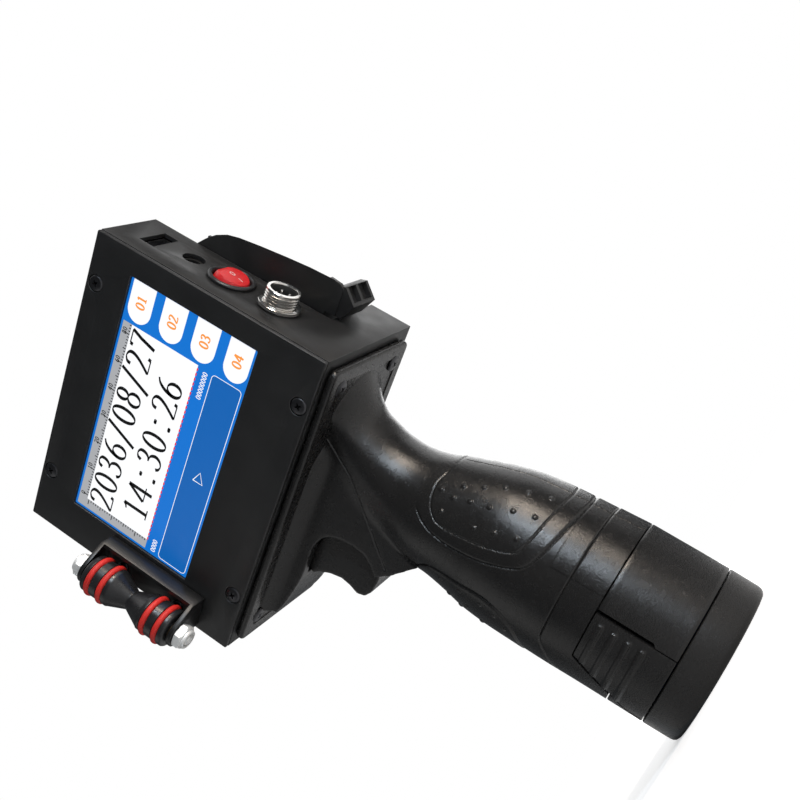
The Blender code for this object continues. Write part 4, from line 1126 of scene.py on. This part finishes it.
def handle():
    shell = grip()
    detail_grip(shell)
    finished(shell, HANDLE, "handle_black", "handle_shell_left", "handle_shell_right")

    low, high = corners("handle_flange")
    flange = plate("flange_plate", [rounded_rectangle((low.x, low.y), (high.x, high.y), 3.0)],
                   (low.z, high.z), 'Z', 0.9)
    rim = 5.0
    tray = plate("tray", [rounded_rectangle((low.x + rim, low.y + rim), (high.x - rim, high.y - rim), 2.0)],
                 (low.z - 1.0, low.z + 0.4), 'Z', 0.3)
    boolean(flange, tray, 'DIFFERENCE')
    shade(flange, 40.0)
    finished(flange, HANDLE, "handle_black", "handle_flange")

    trigger = cad_copy("trigger_blade", "trigger")
    voxels(trigger, 0.45)
    relax(trigger, 5)
    shade(trigger, 60.0)
    finished(trigger, HANDLE, "handle_black", "trigger", body="trigger")


# ---- battery pack ----------------------------------------------------------------------------
CAP_LOW, CAP_HIGH = corners("battery_end_cap")
PACK_R = (CAP_HIGH.x - CAP_LOW.x) / 2
CAP_TOP = CAP_HIGH.z
HALVES = ((-40.0, -1.0), (1.0, 40.0))   # left and right half of the pack along Y


def drum(name, radius, low, high, inner, sides, rows):
    """Ring-shaped skin from the height low up to high(angles), as wide as radius(angles, z)."""
    rim = 0.35
    angles = np.arange(sides) * 2 * np.pi / sides
    base, top = np.full(sides, low), high(angles)
    layers = [(base, -rim), (base + 0.3 * rim, -0.3 * rim)]
    for t in np.linspace(0, 1, rows):
        layers.append((base + rim + (top - base - 2 * rim) * t, 0.0))
    layers += [(top - 0.3 * rim, -0.3 * rim), (top, -rim)]
    verts = []
    for z, inset in layers:
        r = radius(angles, z) + inset
        verts.append(np.stack([r * np.cos(angles), r * np.sin(angles), z], 1))
    for z in (top, base):
        verts.append(np.stack([inner * np.cos(angles), inner * np.sin(angles), z], 1))
    return shade(from_lists(name, np.concatenate(verts), walls(len(verts), sides)), 40.0)


def latch_outline(grow):
    """Side latch seen along Y, with a cut corner that follows the stepped joint line."""
    top, floor_z = SEAM_Z - 0.45, CAP_TOP + 0.5
    return [(8.3 + grow, top + grow * 4), (-8.3 - grow, top + grow * 4), (-15.6 - grow, STEP_Z - 0.5),
            (-19.5 - grow, 18.0), (-19.5 - grow, floor_z - grow), (8.3 + grow, floor_z - grow)]


def pack():
    radius = PACK_R

    def plain(angles, z):
        return radius

    def stepped(angles):
        x = radius * np.cos(angles)
        ramp = np.clip((x + 15.8) / 7.3, 0, 1)
        return STEP_Z - 0.4 + (SEAM_Z - STEP_Z) * ramp

    shell = drum("pack_skin", plain, CAP_TOP + 0.35, stepped, 20.6, 288, 24)
    sleeve = lathe("sleeve", [(20.6, 15.0), (20.6, 68.9), (0.0, 68.9), (0.0, 70.4), (22.0, 70.4),
                              (22.3, 70.1), (22.3, 15.0)], steps=96)
    boolean(shell, sleeve, 'UNION')
    for span in HALVES:
        opening = latch_outline(0.4)
        opening[0] = (9.7, SEAM_Z + 1.0)
        opening[-1:] = [(8.7, opening[-1][1]), (8.7, 19.2), (9.7, 20.2)]
        window = prism("window", opening, *span)
        boolean(window, post("window_core", 23.0, -15.0, 75.0), 'DIFFERENCE')
        boolean(shell, window, 'DIFFERENCE')
    shade(shell, 40.0)
    finished(shell, HANDLE, "handle_black", "battery_shell", body="battery_pack")

    cap = [(0.0, 2.6), (20.2, 2.6), (20.4, CAP_TOP - 0.4), (20.6, CAP_TOP), (radius - 0.35, CAP_TOP),
           (radius, CAP_TOP - 0.3), (radius - 0.25, 2.2), (radius - 0.45, 1.2), (radius - 0.95, 0.45),
           (radius - 1.8, 0.0), (0.0, 0.0)]
    finished(lathe("pack_cap", cap, steps=192), HANDLE, "handle_black", "battery_end_cap",
             body="battery_pack")

    def level(angles):
        return np.full(angles.shape, 42.0)

    def ridged(angles, z):
        x = radius * np.cos(angles)
        out = radius - 0.1
        for i, ridge in enumerate((35.6, 31.0, 26.4, 21.8)):
            across = np.maximum(np.abs(z - ridge) - 0.45, 0.0)
            along = np.maximum(np.maximum(-9.0 - i * 2.6 - x, x - 5.6), 0.0)
            out = out + 0.55 * smoothstep(-np.hypot(across, along), -0.75, -0.1)
        return out

    for side, span in zip(("left", "right"), HALVES):
        segment = drum(f"latch_panel_{side}", ridged, CAP_TOP + 0.3, level, 24.7, 360, 150)
        boolean(segment, prism("latch_cut", latch_outline(0.0), *span), 'INTERSECT')
        shade(segment, 40.0)
        node = f"battery_latch_{side}"
        finished(segment, HANDLE, "handle_black", node, body=node)


# ---- pieces kept from the CAD, with their own materials --------------------------------------
KEPT = {
    # the USB socket takes the steel that is painted dark for the shade inside its opening
    "lcd_module": BRUSHED, "main_board": BOARD, "usb_socket": SHADED_SOCKET, "dc_jack": DARK,
    "connector_nut": ZINC, "bay_divider": POWDER, "cartridge_holder": GREY, "clamp_pin": ZINC,
    "roller_bush_lower": BRONZE, "roller_bush_upper": BRONZE, "trigger_pin": ZINC,
    "trigger_spring": ZINC, "trigger_switch": DARK, "battery_cell_1": CELL, "battery_cell_2": CELL,
    "battery_cell_3": CELL, "battery_contacts": BRONZE, "contact_block": DARK, "power_lead": CABLE,
}


def kept():
    for node, mat in KEPT.items():
        mesh = NODES[node].data
        mesh.materials.clear()
        mesh.materials.append(mat)


head()
screen()
screws()
ports()
bay()
roller()
handle()
pack()
kept()
